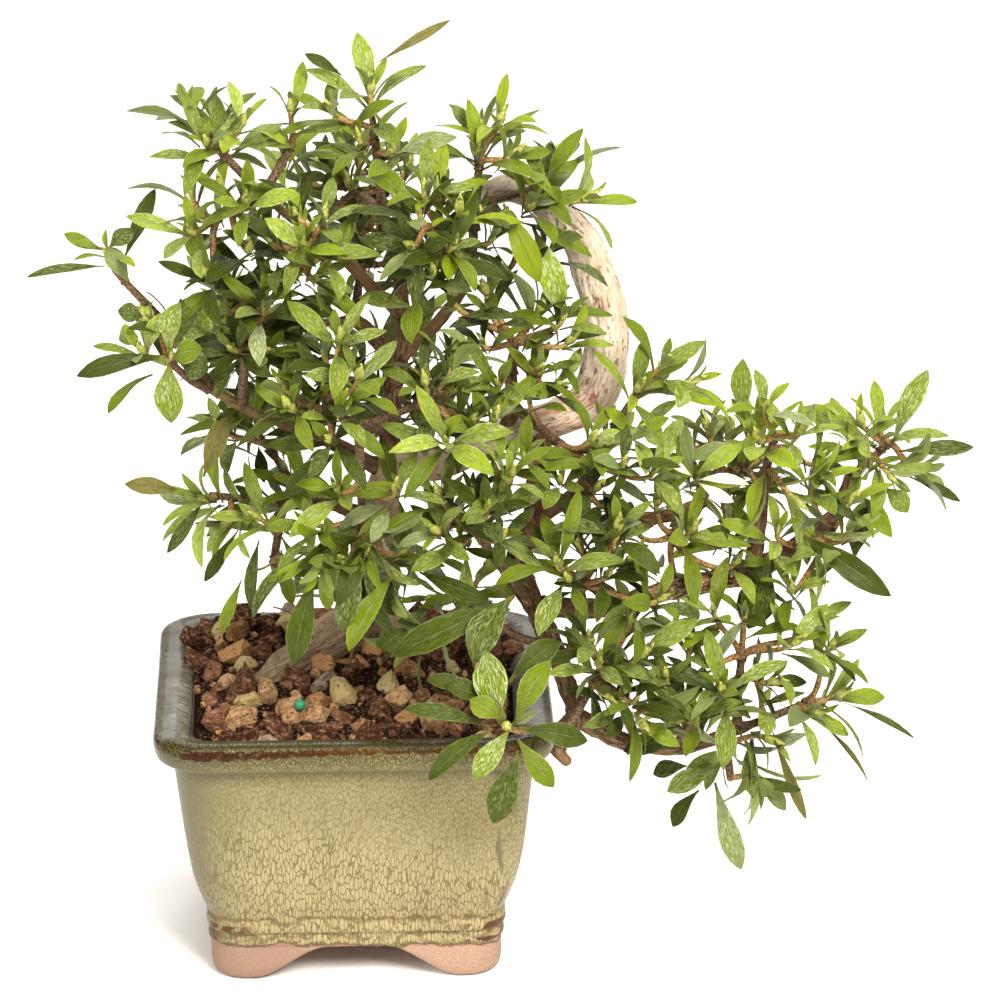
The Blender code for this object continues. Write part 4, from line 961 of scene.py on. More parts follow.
# ---- Shoots ------------------------------------------------------------------------------------
# Each part of the crown grows from one stem on a limb.  The stem carries leafy shoots, and they carry
# finer twigs, brown and scaly below and yellow green at the tip.  The shoots that stand out are given
# one by one, and the rest are dealt round the part's space.
CROWN = {
    # limb, share of it, middle and half widths of the space, shoots by rule, most shoots with twigs, and the
    # shoots that stand out: tip, its lean seen from the front (90 is upright, 180 left), how far it faces the
    # front (0 to 1), the size of its leaves and their number
    "mass_top_tip": ("bough_leader", 1.0, (9, 3, 329), (28, 25, 35), 4, 4, [
        (9, 3, 335, 85, 0.2, 1.0, 8), (5, -3, 317, 95, 0.2, 0.95, 7), (16, -5, 314, 80, 0.2, 0.95, 7),
        (-6, -5, 330, 110, 0.2, 0.85, 6)]),
    "mass_top_back": ("bough_leader", 1.0, (0, 44, 287), (30, 28, 29), 3, 11, [
        (1, 34, 289, 100, 0.2, 0.8, 6), (10, 40, 285, 85, 0.2, 0.7, 5), (-7, 40, 276, 60, 0.2, 0.95, 6),
        (23, 36, 296, 90, 0.0, 0.9, 7)]),
    "mass_top_left": ("bough_top_left", 1.0, (-51, -4, 318), (33, 25, 28), 3, 5, [
        (-45, -4, 318, 105, 0.2, 1.05, 8), (-39, -10, 326, 75, 0.2, 0.9, 6)]),
    "mass_top_centre": ("bough_top_left", 1.0, (-18, 6, 318), (26, 24, 25), 2, 1, [
        (-23, 10, 308, 90, 0.2, 1.0, 7), (-21, -4, 330, 90, 0.2, 0.85, 6)]),
    "mass_left_shoulder": ("bough_top_left", 1.0, (-54, -10, 287), (29, 25, 28), 3, 7, [
        (-38, -22, 300, 90, 0.3, 0.95, 7), (-52, -18, 270, 120, 0.3, 1.0, 8),
        (-52, -10, 288, 140, 0.2, 0.75, 6), (-37, -18, 280, 100, 0.3, 0.95, 7),
        (-47, -14, 303, 100, 0.3, 0.85, 6)]),
    "mass_upper_left": ("bough_top_left", 0.55, (-16, -22, 281), (32, 24, 28), 4, 16, [
        (-17, -32, 286, 80, 0.4, 1.05, 8)]),
    "mass_top_right": ("bough_top_right", 1.0, (50, 6, 314), (29, 26, 30), 3, 4, [
        (49, 2, 311, 88, 0.2, 1.1, 9), (62, -2, 311, 60, 0.2, 0.8, 6)]),
    "mass_crown_front": ("bough_top_right", 0.8, (34, -14, 286), (29, 24, 30), 4, 16, [
        (33, -12, 300, 88, 0.3, 0.8, 6), (26, -22, 295, 95, 0.3, 0.9, 6), (38, -28, 283, 70, 0.4, 0.95, 8),
        (26, -20, 264, 80, 0.3, 0.9, 6), (28, -22, 304, 85, 0.3, 0.8, 6), (31, -24, 272, 90, 0.3, 0.85, 7),
        (53, -12, 281, 80, 0.3, 0.85, 6)]),
    "mass_arch_tip": ("trunk_end", 1.0, (76, 10, 295), (33, 23, 22), 3, 4, [
        (68, 0, 290, 60, 0.2, 1.1, 9)]),
    "mass_arch_leaves": ("trunk_end", 0.9, (68, -2, 271), (21, 16, 29), 2, 2, []),
    "mass_far_left": ("bough_left", 1.0, (-95, -8, 280), (35, 23, 25), 3, 1, [
        (-90, -8, 276, 130, 0.2, 0.6, 4)]),
    "mass_left_whorl": ("bough_left", 1.0, (-72, -14, 238), (36, 25, 32), 4, 4, [
        (-66, -27, 242, 100, 0.7, 0.5, 4), (-75, -10, 250, 150, 0.2, 0.6, 4)]),
    "mass_left_inner": ("bough_left", 0.75, (-38, -12, 249), (29, 25, 29), 3, 16, [
        (-32, -26, 260, 90, 0.4, 1.05, 8)]),
    "mass_left_low": ("bough_low_left", 1.0, (-60, -4, 179), (34, 25, 33), 3, 1, [
        (-56, -10, 179, 150, 0.2, 1.15, 9), (-48, -14, 170, 175, 0.3, 0.9, 7)]),
    "mass_low_left": ("bough_low_left", 1.0, (-31, -16, 149), (30, 25, 31), 4, 3, [
        (-27, -28, 160, 265, 0.5, 0.8, 5), (-35, -24, 176, 140, 0.4, 0.95, 8)]),
    "mass_mid_left": ("bough_low_left", 0.8, (-34, 26, 192), (32, 28, 29), 4, 11, [
        (-25, 16, 181, 120, 0.2, 0.9, 7), (-18, -12, 183, 110, 0.4, 0.95, 8),
        (-33, -4, 175, 150, 0.3, 0.9, 7)]),
    "mass_low_centre": ("bough_front", 1.0, (4, -38, 169), (36, 28, 33), 4, 10, [
        (5, -58, 177, -90, 0.8, 1.2, 9), (16, -54, 198, 90, 0.3, 0.8, 6),
        (-12, -52, 169, 265, 0.6, 1.15, 7), (14, -46, 155, -100, 0.4, 1.1, 5),
        (-5, -46, 195, 100, 0.5, 0.9, 8), (-15, -44, 181, 130, 0.5, 0.9, 7)]),
    "mass_centre_front": ("bough_front", 1.0, (-10, -40, 226), (31, 24, 33), 4, 12, [
        (-8, -50, 216, 110, 0.5, 0.9, 8), (-4, -48, 254, 90, 0.5, 1.0, 8),
        (3, -48, 240, 90, 0.4, 0.85, 6)]),
    "mass_centre": ("bough_front", 0.9, (33, -32, 226), (28, 24, 30), 3, 6, [
        (35, -50, 215, 100, 0.5, 1.25, 8), (53, -42, 221, 90, 0.4, 0.85, 7)]),
    "mass_back_upper": ("bough_back", 1.0, (6, 72, 252), (33, 28, 32), 3, 16, [
        (-1, 56, 236, 95, 0.0, 0.95, 7)]),
    "mass_back_left": ("bough_back", 1.0, (-38, 62, 222), (32, 26, 32), 3, 16, [
        (-39, 50, 201, 170, 0.0, 0.95, 6), (-17, 48, 215, 100, 0.0, 0.95, 7),
        (-52, 52, 222, 60, 0.0, 0.9, 6), (-13, 52, 222, 90, 0.0, 0.9, 6)]),
    "mass_back_low": ("bough_back", 1.0, (24, 72, 196), (33, 26, 31), 3, 16, [
        (30, 60, 202, 100, 0.0, 0.9, 6), (12, 62, 216, 75, 0.0, 0.95, 7), (29, 60, 227, 90, 0.0, 0.9, 7)]),
    "mass_inner_arch": ("bough_inner", 1.0, (62, -10, 242), (38, 24, 32), 4, 10, [
        (53, -16, 254, 95, 0.3, 0.85, 7), (80, -12, 250, 85, 0.3, 0.85, 7),
        (55, -24, 228, 95, 0.4, 0.95, 7), (71, -18, 231, 85, 0.3, 0.85, 6), (82, -16, 242, 70, 0.3, 0.8, 6),
        (77, -20, 226, 60, 0.4, 0.8, 6), (51, -10, 260, 100, 0.3, 0.8, 6), (38, -24, 264, 90, 0.3, 0.8, 6),
        (50, -18, 242, 95, 0.3, 0.85, 6)]),
    "mass_centre_right": ("bough_inner", 0.45, (85, -26, 199), (40, 23, 25), 4, 9, [
        (64, -42, 206, 80, 0.5, 0.85, 7), (114, -26, 194, 85, 0.4, 0.9, 7),
        (102, -34, 200, 90, 0.4, 0.8, 6), (97, -36, 184, 60, 0.4, 0.8, 6), (78, -34, 193, 90, 0.4, 0.85, 7),
        (92, -34, 190, 75, 0.4, 0.8, 6), (90, -34, 210, 70, 0.4, 0.75, 6),
        (67, -22, 222, 90, 0.3, 0.8, 6)]),
    "mass_shoot_front": ("cascade", 0.4, (42, -44, 182), (31, 23, 30), 4, 16, [
        (50, -58, 191, 85, 0.4, 1.0, 8), (59, -54, 203, 80, 0.5, 0.85, 7),
        (55, -54, 178, 80, 0.5, 0.85, 6)]),
    "mass_trunk_leaves": ("cascade", 0.5, (36, -16, 141), (32, 22, 21), 2, 4, [
        (45, -20, 140, -20, 0.4, 1.2, 6), (26, -22, 125, -150, 0.4, 1.3, 5),
        (48, -24, 151, 70, 0.3, 0.85, 6), (30, -24, 143, 180, 0.4, 1.0, 6)]),
    "mass_right_of_arch": ("bough_right_up", 1.0, (112, -10, 225), (31, 23, 22), 3, 2, [
        (108, -16, 223, 60, 0.3, 1.05, 8), (108, -20, 207, 80, 0.4, 0.9, 7),
        (117, -18, 233, 60, 0.3, 0.9, 6), (128, -18, 226, 40, 0.3, 0.9, 6)]),
    "mass_right_mid": ("bough_right_mid", 1.0, (135, 10, 188), (26, 23, 23), 3, 1, [
        (132, 0, 180, 70, 0.3, 0.95, 7)]),
    "mass_back_right": ("bough_right_mid", 1.0, (146, 44, 172), (32, 26, 30), 3, 16, [
        (147, 36, 152, 90, 0.0, 0.9, 7)]),
    "mass_mid_right": ("bough_right_mid", 0.85, (122, -2, 156), (30, 22, 21), 3, 6, [
        (129, -14, 165, 75, 0.4, 1.05, 8), (147, -10, 159, 60, 0.4, 0.9, 7),
        (128, -10, 136, -50, 0.4, 0.9, 6), (146, -14, 152, 80, 0.3, 0.85, 6),
        (116, -12, 176, 85, 0.3, 0.85, 6)]),
    "mass_right_high": ("bough_right_high", 1.0, (162, -4, 203), (34, 26, 31), 4, 5, [
        (154, -12, 201, 95, 0.2, 1.05, 9), (177, -10, 191, 80, 0.3, 0.95, 7),
        (168, -18, 179, -30, 0.4, 1.2, 7), (157, -12, 214, 70, 0.3, 0.9, 6),
        (169, -12, 204, 80, 0.3, 0.8, 6)]),
    "mass_far_right": ("bough_lichen", 1.0, (211, 10, 195), (36, 28, 31), 4, 5, [
        (203, 6, 198, 75, 0.2, 1.15, 9), (219, 10, 180, 20, 0.2, 1.0, 6), (196, 8, 181, 100, 0.3, 0.9, 6),
        (195, 2, 203, 100, 0.2, 0.8, 6), (206, -2, 182, -40, 0.3, 0.85, 6),
        (191, 2, 195, 110, 0.3, 0.8, 6)]),
    "mass_right_low": ("bough_lichen", 0.85, (181, -8, 155), (33, 22, 24), 3, 6, [
        (178, -14, 159, -45, 0.4, 1.2, 6), (162, -16, 165, 70, 0.4, 0.9, 7),
        (168, -14, 141, 90, 0.3, 0.95, 7), (176, -16, 185, 70, 0.3, 0.9, 7),
        (190, -16, 177, 60, 0.3, 0.85, 6)]),
    "mass_mid_cluster": ("cascade", 0.55, (88, -42, 163), (32, 24, 26), 4, 12, [
        (76, -58, 170, 95, 0.4, 1.15, 8), (99, -52, 181, 90, 0.3, 0.9, 7),
        (115, -50, 151, 60, 0.4, 0.9, 7)]),
    "mass_low_cluster": ("cascade", 0.85, (98, -46, 130), (29, 23, 26), 4, 12, [
        (92, -60, 130, 85, 0.5, 0.95, 8), (101, -52, 115, 70, 0.4, 0.85, 6),
        (89, -56, 137, 100, 0.4, 0.9, 6), (93, -54, 116, -30, 0.4, 0.8, 6),
        (106, -54, 112, 85, 0.4, 0.8, 6)]),
    "mass_low_right_top": ("bough_low_right", 1.0, (149, -20, 125), (26, 23, 28), 3, 6, [
        (149, -26, 136, 90, 0.3, 0.9, 7), (168, -28, 124, 55, 0.3, 1.0, 8),
        (134, -30, 117, 110, 0.4, 0.9, 7), (159, -28, 108, 30, 0.4, 0.85, 6),
        (177, -20, 128, 75, 0.3, 0.85, 6), (137, -28, 138, 95, 0.4, 0.85, 6)]),
    "mass_low_right_far": ("bough_low_right", 1.0, (183, -16, 98), (37, 25, 31), 4, 4, [
        (186, -20, 99, 40, 0.3, 1.0, 8), (183, -24, 122, 60, 0.3, 0.85, 7),
        (176, -26, 94, 20, 0.3, 0.85, 6), (157, -24, 99, 60, 0.4, 0.85, 6)]),
    "mass_low_right": ("bough_low_right", 0.6, (131, -36, 99), (32, 24, 23), 4, 9, [
        (139, -48, 114, 110, 0.5, 1.0, 7), (108, -50, 102, -30, 0.5, 1.0, 6),
        (128, -30, 124, 80, 0.4, 0.8, 6), (118, -44, 118, 90, 0.4, 0.75, 6)]),
    "mass_low_tip": ("bough_low_right", 0.9, (146, -20, 60), (34, 23, 34), 3, 2, [
        (142, -26, 79, 200, 0.4, 1.05, 8), (156, -22, 66, -70, 0.4, 1.15, 8),
        (158, -28, 85, -20, 0.4, 0.9, 6)]),
    "mass_front_whorl": ("cascade", 0.72, (57, -86, 113), (36, 22, 34), 4, 1, [
        (56, -92, 118, 90, 0.75, 0.45, 4)]),
}
GOLDEN_TURN = math.radians(137.5)
STEM_SPREAD = math.radians(75)
STEM_OFF_LIMB = math.radians(80)
STEM_PUSH = 0.06
STEM_STEPS = 12
SHOOT_STEPS = 9
SHOOT_REACH = 0.46
SHOOT_BEND = 0.35               # of its length, where a shoot bends
SHOOT_RISE = 1.3
FINE_REACH = (0.22, 0.64)       # how far out in its space a finer twig ends
FINE_TRIES = 44
TIP_SPACING = 10.5
STEM_THICK = 2.0
STEM_THIN = 1.45
TWIG_THIN = 1.05
FINE_THICK = 1.3125
TWIG_SIDES = 6
STEM_ROUNDS = 60                # of turning crowded stems a little further apart


def bezier(p0, p1, p2, p3, steps):
    shares = [s / steps for s in range(steps + 1)]
    return [p0 * (1 - t) ** 3 + p1 * 3 * t * (1 - t) ** 2 + p2 * 3 * t * t * (1 - t) + p3 * t ** 3
            for t in shares]


def spread_stems(headings, back):
    """Turn the stems that share a bough tip apart, and keep them off the bough itself."""
    turned = [h.normalized() for h in headings]
    for _ in range(STEM_ROUNDS):
        for i, first in enumerate(turned):
            for j in range(i):
                angle = first.angle(turned[j], 0.0)
                if angle < STEM_SPREAD:
                    push = (first - turned[j]).normalized() if angle > 0.01 else Vector((0, 0, 1))
                    turned[i] = first = (first + push * STEM_PUSH).normalized()
                    turned[j] = (turned[j] - push * STEM_PUSH).normalized()
            if first.angle(back, 0.0) < STEM_OFF_LIMB:
                turned[i] = (first - back * 0.08).normalized()
    return turned


def mass_stem(start, heading, centre):
    """A mass's stem: off its bough along the heading, then to the heart of the space."""
    run = (centre - start).length
    heart = centre.lerp(start, 0.18)
    return bezier(start, start + heading * run * 0.3, heart.lerp(start, 0.3), heart, STEM_STEPS)


def grown_shoot(stem, share, tip, out):
    """A shoot that leaves its stem forwards and turns up as it reaches its tip."""
    place = share * (len(stem) - 1)
    low = min(int(place), len(stem) - 2)
    base = stem[low].lerp(stem[low + 1], place - low)
    lift = (tip - base).length
    bend = base + (stem[low + 1] - stem[low]).normalized() * lift * SHOOT_BEND
    rise = Vector((out.x, out.y, out.z + SHOOT_RISE)).normalized()
    return bezier(base, bend, tip - rise * lift * SHOOT_BEND, tip, SHOOT_STEPS)


def rule_out(i, count, offset, back):
    """Where the i-th of a number of shoots points, dealt round by the golden angle."""
    height = 1 - 2 * (i + 0.5) / count
    flat = math.sqrt(max(0.0, 1 - height * height))
    turn = offset + i * GOLDEN_TURN
    out = Vector((math.cos(turn) * flat, math.sin(turn) * flat, height * 0.8 + 0.15))
    if out.dot(back) > 0.35:
        out = out - back * (out.dot(back) + 0.1)
    return out.normalized()


class Whorl:
    """The leafy end of a shoot."""

    def __init__(self, name, line, size, leaves):
        self.name = name
        self.tip = line[-1]
        self.heading = (line[-1] - line[-2]).normalized()
        self.size = size
        self.leaves = leaves


def tip_heading(lean, facing):
    lean = math.radians(lean)
    flat = 1.0 - facing * facing
    return Vector((math.cos(lean) * flat, -facing - 0.1, math.sin(lean) * flat)).normalized()


def grow_mass(name, stem, taken):
    """The shoots of a mass as lines with the thickness and age of their two ends, and its whorls."""
    _, _, middle, reach, count, most, seen_tips = CROWN[name]
    centre = Vector(middle)
    back = (stem[0] - centre).normalized()
    offset = random.Random(name).random() * 2 * math.pi
    shoots = [(stem, STEM_THICK, STEM_THIN, 0.0, 0.25)]
    whorls = []

    def grow(line, size, leaves, thick):
        shoots.append((line, thick, TWIG_THIN, 0.2, 1.0))
        whorls.append(Whorl(name, line, size, leaves))
        taken.append(line[-1])

    def place(out, share):
        return centre + Vector([o * r * share for o, r in zip(out, reach)])

    def room(tip, spacing):
        return len(whorls) < most and all((tip - other).length > spacing for other in taken)

    for x, y, z, lean, facing, size, leaves in seen_tips:
        tip = Vector((x, y, z))
        near = min(range(1, len(stem)), key=lambda k: (stem[k] - tip).length)
        base, ahead = grown_shoot(stem, max(near / (len(stem) - 1) - 0.12, 0.05), tip, tip - centre)[:2]
        lift = (tip - base).length
        grow(bezier(base, base + (ahead - base).normalized() * lift * 0.3,
                    tip - tip_heading(lean, facing) * lift * 0.4, tip, SHOOT_STEPS), size, leaves, STEM_THIN)
    for i in range(count):
        draw = random.Random(f"{name} shoot {i}")
        out = rule_out(i, count, offset, back)
        tip = place(out, SHOOT_REACH * draw.uniform(0.85, 1.15))
        share = 1 - (1 - draw.uniform(0.1, 0.95)) / STEM_STEPS * 3
        if room(tip, TIP_SPACING * 0.8):
            grow(grown_shoot(stem, share, tip, out), draw.uniform(0.85, 1.08), draw.choice((6, 7, 8)),
                 STEM_THIN)
    for i in range(FINE_TRIES):
        draw = random.Random(f"{name} twig {i}")
        out = rule_out(i, FINE_TRIES, offset + 1.0, back)
        tip = place(out, draw.uniform(*FINE_REACH))
        if room(tip, TIP_SPACING):
            parent = min((shoot[0] for shoot in shoots),
                         key=lambda line: min((p - tip).length for p in line[2:-2]))
            near = min(range(2, len(parent) - 2), key=lambda k: (parent[k] - tip).length)
            share = max(near / (len(parent) - 1) - 0.2, 0.1)
            grow(grown_shoot(parent, share, tip, out), draw.uniform(0.75, 1.0), draw.choice((6, 7, 7, 8)),
                 FINE_THICK)
    return shoots, whorls


def place_on(name, share):
    """The place on a carrier and the heading there."""
    points = TRUNK_LINE[13:] if name == "trunk_end" else BOUGHS[name]
    line = [Vector(row[:3]) for row in smooth_line(points, 2)]
    place = share * (len(line) - 1)
    low = min(int(place), len(line) - 2)
    near = round(place)
    heading = (line[min(near + 1, len(line) - 1)] - line[max(near - 1, 0)]).normalized()
    return line[low].lerp(line[low + 1], place - low), heading


def tube_along(line, thick, thin, old, young):
    """Points, faces and ages of a tapering shoot, flared where it leaves its stem."""
    rings, ages = [], []
    side = (line[1] - line[0]).orthogonal().normalized()
    last = len(line) - 1
    for i, middle in enumerate(line):
        ahead = (line[min(i + 1, last)] - line[max(i - 1, 0)]).normalized()
        side = (side - ahead * side.dot(ahead)).normalized()
        across = ahead.cross(side)
        share = i / last
        radius = thick + (thin - thick) * share + 0.5 * thick * max(0.0, 1 - share * 7)
        radius *= 1 + 0.10 * noise.noise(middle * 0.5)
        turns = [k * math.tau / TWIG_SIDES for k in range(TWIG_SIDES)]
        rings.append([middle + (side * math.cos(a) + across * math.sin(a)) * radius for a in turns])
        ages += [old + (young - old) * share] * TWIG_SIDES
    points, faces = stack(rings, line[0], line[-1] + ahead * thin * 0.5)
    return points, faces, ages + [old, young]


def young_bark_material():
    material, s = new_shader("young_bark")
    youth = s.attribute("youth")
    scales = s.noise(millimetres(s), 1.1, 3.0, 0.6)
    rusty = s.mix(scales.ramp(0.38, 0.62), (0.190, 0.090, 0.026), (0.440, 0.270, 0.100))
    green = s.mix(scales.ramp(0.36, 0.60), (0.250, 0.190, 0.032), (0.440, 0.370, 0.110))
    colour = s.coats(
        s.mix(scales.ramp(0.38, 0.62), (0.055, 0.030, 0.015), (0.200, 0.125, 0.065)),
        (youth.ramp(0.15, 0.60), rusty), (youth.ramp(0.70, 0.98), green))
    set_surface(s, colour, 0.72, scales, 0.35, Specular_IOR_Level=0.25)
    return material


headings, starts, carried = {}, {}, {}
for name, (limb, share, *_) in CROWN.items():
    carried.setdefault((limb, share), []).append(name)
for (limb, share), names in carried.items():
    start, along = place_on(limb, share)
    wanted = [Vector(CROWN[name][2]) - start for name in names]
    headings.update(zip(names, spread_stems(wanted, -along)))
    starts.update((name, start) for name in names)

whorls, twigs = [], []
taken_tips = [Vector(tip[:3]) for row in CROWN.values() for tip in row[6]]
for name, row in CROWN.items():
    stem = mass_stem(starts[name], headings[name], Vector(row[2]))
    mass_shoots, mass_whorls = grow_mass(name, stem, taken_tips)
    twigs += [tube_along(*shoot) for shoot in mass_shoots]
    whorls += mass_whorls
shoots = link_mesh("shoots", *joined([twig[:2] for twig in twigs]), young_bark_material())
store(shoots.data, "youth", "FLOAT", [age for twig in twigs for age in twig[2]])
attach(shoots, "root")
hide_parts(*CROWN)

# ---- Leaves ------------------------------------------------------------------------------------
# Small narrow leaves in whorls at the shoots' tips, the inner ones short and upright, the outer ones
# long and arched over.  They are thin, a little folded along the midrib, silvery with short hairs and
# painted sheen above and paler below, with painted shading mottled over each blade: fresh green at the
# tips, a deeper green painted as shade where the crown is dense, and a few old ones.  A few white leaves
# are a painted highlight.
LEAF_STATIONS = (0.0, 0.10, 0.25, 0.42, 0.58, 0.73, 0.86, 0.95, 1.0)
LEAF_HALF_WIDTHS = (0.10, 0.16, 0.42, 0.78, 1.0, 0.97, 0.68, 0.30, 0.0)
LEAF_LENGTH = 24.0
LEAF_HALF_WIDTH = 2.9
LEAF_GIRTH = 0.67              # widths of single leaves are given for a leaf a little wider than these
LEAF_SKIN = 0.16
LEAF_RIB = 0.34
LEAF_SHORTER = 0.12             # of its length, lost by one that arches over
ROW_POINTS = 6                  # of a leaf: five across its upper side and one under its rib
UPPER_SIDE = (0, 1, 2, 3, 4)
LOWER_SIDE = (4, 5, 0)
ACROSS = (-1, -0.5, 0, 0.5, 1, 0)
LEAF_SHAPES = [
    # how far it arches over, folds along its rib, and twists
    (0.10, 0.10, 0.0), (0.20, 0.22, 0.12), (0.32, 0.14, -0.15), (-0.06, 0.25, 0.10),
    (0.45, 0.30, 0.05), (0.14, 0.34, -0.20)]
ATLAS = 6
CROWD_REACH = 32.0              # whorls with many others this near are painted a deeper green, as painted shade
CROWD_FEW = 5
CROWD_MANY = 17
CROWD_SHADE = 0.62
OWN_TONE = 0.66                 # the range in which neighbours differ
RIGHT_TONE = 0.28               # the sides of the crown stand more in the light
LEFT_TONE = 0.14
LEAF_FIRST_ANGLE = 13           # in degrees from the shoot, of the innermost leaf
LEAF_OPENING = 56               # from there to the outermost
LEAF_FIRST_DROP = 0.9
LEAF_DROP = 1.15                # from one leaf of a whorl to the next, down the shoot
LEAF_FINISHES = {
    # dark, light, hairs and painted sheen, underside
    "fresh": ((0.112, 0.158, 0.001), (0.215, 0.278, 0.003), (0.740, 0.790, 0.480), (0.220, 0.265, 0.060)),
    "middle": ((0.065, 0.096, 0.001), (0.126, 0.170, 0.001), (0.640, 0.700, 0.350), (0.150, 0.185, 0.042)),
    "deep": ((0.019, 0.029, 0.0004), (0.045, 0.062, 0.0008), (0.330, 0.400, 0.160), (0.072, 0.090, 0.020)),
    "bronze": ((0.080, 0.074, 0.010), (0.160, 0.138, 0.030), (0.480, 0.440, 0.260), (0.170, 0.150, 0.050)),
    "yellow": ((0.140, 0.180, 0.004), (0.190, 0.240, 0.008), (0.330, 0.390, 0.090), (0.250, 0.280, 0.040)),
    "silver": ((0.090, 0.125, 0.022), (0.180, 0.220, 0.065), (0.820, 0.850, 0.620), (0.215, 0.255, 0.095)),
    # white: leaves painted near white as a painted highlight
    "white": ((0.580, 0.620, 0.450), (0.700, 0.730, 0.580), (0.900, 0.900, 0.820), (0.500, 0.540, 0.380)),
}
STALK_COLOUR = (0.250, 0.200, 0.050)
LEAF_CLEARANCE = 0.7
POT_REACH = 76.5
POT_MOUTH = 60.5
BRONZE_BELOW = 0.004            # the odd whorls with old leaves
YELLOW_ABOVE = 0.985
SILVER_CHANCE = 0.06            # of a leaf that shows its underside's colour
FRESH_BELOW = 0.36
MIDDLE_BELOW = 0.78


def shape_mesh(name, points, faces):
    """A smooth mesh round its own origin, from points in millimetres."""
    mesh = bpy.data.meshes.new(name)
    mesh.from_pydata([[c * MM for c in p] for p in points], [], faces)
    mesh.shade_smooth()
    return mesh


def leaf_shape(index, cell):
    """One leaf along +Y with its upper side up, its faces split between the two halves of its cell."""
    arch, fold, twist = LEAF_SHAPES[index]
    length = LEAF_LENGTH * (1 - LEAF_SHORTER * abs(arch))
    points = []
    for share, width in zip(LEAF_STATIONS[:-1], LEAF_HALF_WIDTHS):
        half = LEAF_HALF_WIDTH * width
        lift = LEAF_LENGTH * (0.10 * math.sin(math.pi * share * 0.9) - arch * share * share * 0.55)
        wave = 0.25 * math.sin(share * 9.0 + index)
        turn = twist * share * 2.0
        raised = (0.0, LEAF_SKIN, 0.03, LEAF_SKIN, 0.0, -LEAF_SKIN - LEAF_RIB * (1 - share))
        for across, height in zip(ACROSS, raised):
            x = half * across
            z = height + abs(across) * half * fold + (wave * across if abs(across) == 1 else 0.0)
            points.append((x * math.cos(turn) - z * math.sin(turn), share * length,
                           x * math.sin(turn) + z * math.cos(turn) + lift))
    tip = len(points)
    points.append((0.0, length, LEAF_LENGTH * (0.03 - arch * 0.55)))
    left, bottom = (cell % ATLAS) / ATLAS, (cell // ATLAS) / ATLAS

    def on_map(under, across, share):
        u = 0.25 + 0.225 * across + (0.5 if under else 0.0)
        return left + u / ATLAS, bottom + (0.03 + 0.94 * share) / ATLAS

    faces, places = [], []
    rows = len(LEAF_STATIONS) - 1
    for k, (here, there) in enumerate(zip(LEAF_STATIONS, LEAF_STATIONS[1:])):
        low = k * ROW_POINTS
        for under, side in enumerate((UPPER_SIDE, LOWER_SIDE)):
            for a, b in zip(side, side[1:]):
                face = [low + a, low + b]
                spots = [(ACROSS[a], here), (ACROSS[b], here)]
                if k < rows - 1:
                    face += [low + ROW_POINTS + b, low + ROW_POINTS + a]
                    spots += [(ACROSS[b], there), (ACROSS[a], there)]
                else:
                    face.append(tip)
                    spots.append((0, there))
                faces.append(face)
                places += [on_map(under, *spot) for spot in spots]
    faces.append((5, 4, 3, 2, 1, 0))
    places += [on_map(False, ACROSS[a], 0.0) for a in faces[-1]]
    mesh = shape_mesh("leaf", points, faces)
    for loop, place in zip(mesh.uv_layers.new(name="OFBake").data, places):
        loop.uv = place
    edge_points = {k * ROW_POINTS + a for k in range(rows) for a in (0, 4)} | {tip}
    sharp = mesh.attributes.new("sharp_edge", "BOOLEAN", "EDGE")
    for edge, flag in zip(mesh.edges, sharp.data):
        flag.value = set(edge.vertices) <= edge_points
    return bpy.data.objects.new(f"leaf_{cell:02d}", mesh)


def leaf_pattern_group():
    """Masks of a leaf's silvery hairs with their painted sheen, rib, edge, underside and stalk, with a tone
    mottled by painted shading and a relief for it.
    """
    s = Shader(bpy.data.node_groups.new("azalea_leaf_pattern", "ShaderNodeTree"))
    scaled = s.vectors("SCALE", s.out("ShaderNodeUVMap", uv_map="OFBake"), float(ATLAS))
    cell = s.vectors("FLOOR", scaled)
    u, v, _ = s.axes(s.vectors("FRACTION", scaled))
    under = u > 0.5
    across = (s.math("FRACT", u * 2.0) - 0.5) / 0.45
    along = (v - 0.03) / 0.94
    out = abs(across)

    def chance(vector):
        return s.out("ShaderNodeTexWhiteNoise", {"Vector": vector}, "Value", noise_dimensions="3D")

    own = chance(cell)
    place = s.vector(across * 12.5 + own * 50.0, (along - out * 0.10) * 7.5, under * 9.0)
    streaks = s.noise(place, 1.0, 2.0, 0.55)
    fine = s.noise(s.stretched(place, (1.3, 1.6, 1.0)), 1.0, 2.0)
    patches = s.noise(s.stretched(place, (0.16, 0.44, 1.0)), 1.0, 1.0).ramp(0.35, 0.62, 0.35, 1.0)
    silvery = chance(s.stretched(cell, (3.1, 5.7, 1.0))).ramp(0.30, 0.95, 0.18, 1.0)
    hairs_and_sheen = s.either(streaks.ramp(0.52, 0.62), fine.ramp(0.54, 0.60) * 0.9)
    rib = out.ramp(0.02, 0.09, 1.0, 0.0) * along.ramp(0.60, 0.95, 1.0, 0.0)
    masks = {
        # the pale streaks are partly the hairs and partly painted sheen, strongest towards the leaf's base
        "Hairs": hairs_and_sheen * patches * (silvery * along.ramp(0.0, 1.0, 1.0, 0.55)),
        "Rib": rib, "Edge": out.ramp(0.90, 0.98), "Underside": under,
        # the soft darker and lighter patches in a leaf's tone are painted shading
        "Tone": own * 0.6 + patches.ramp(0.35, 1.0, 0.4, 0.0),
        "Stalk": along.ramp(0.02, 0.20, 1.0, 0.0), "Relief": streaks * 0.8 - rib}
    for name in masks:
        s.tree.interface.new_socket(name, in_out="OUTPUT", socket_type="NodeSocketFloat")
    s.node("NodeGroupOutput", masks)
    return s.tree


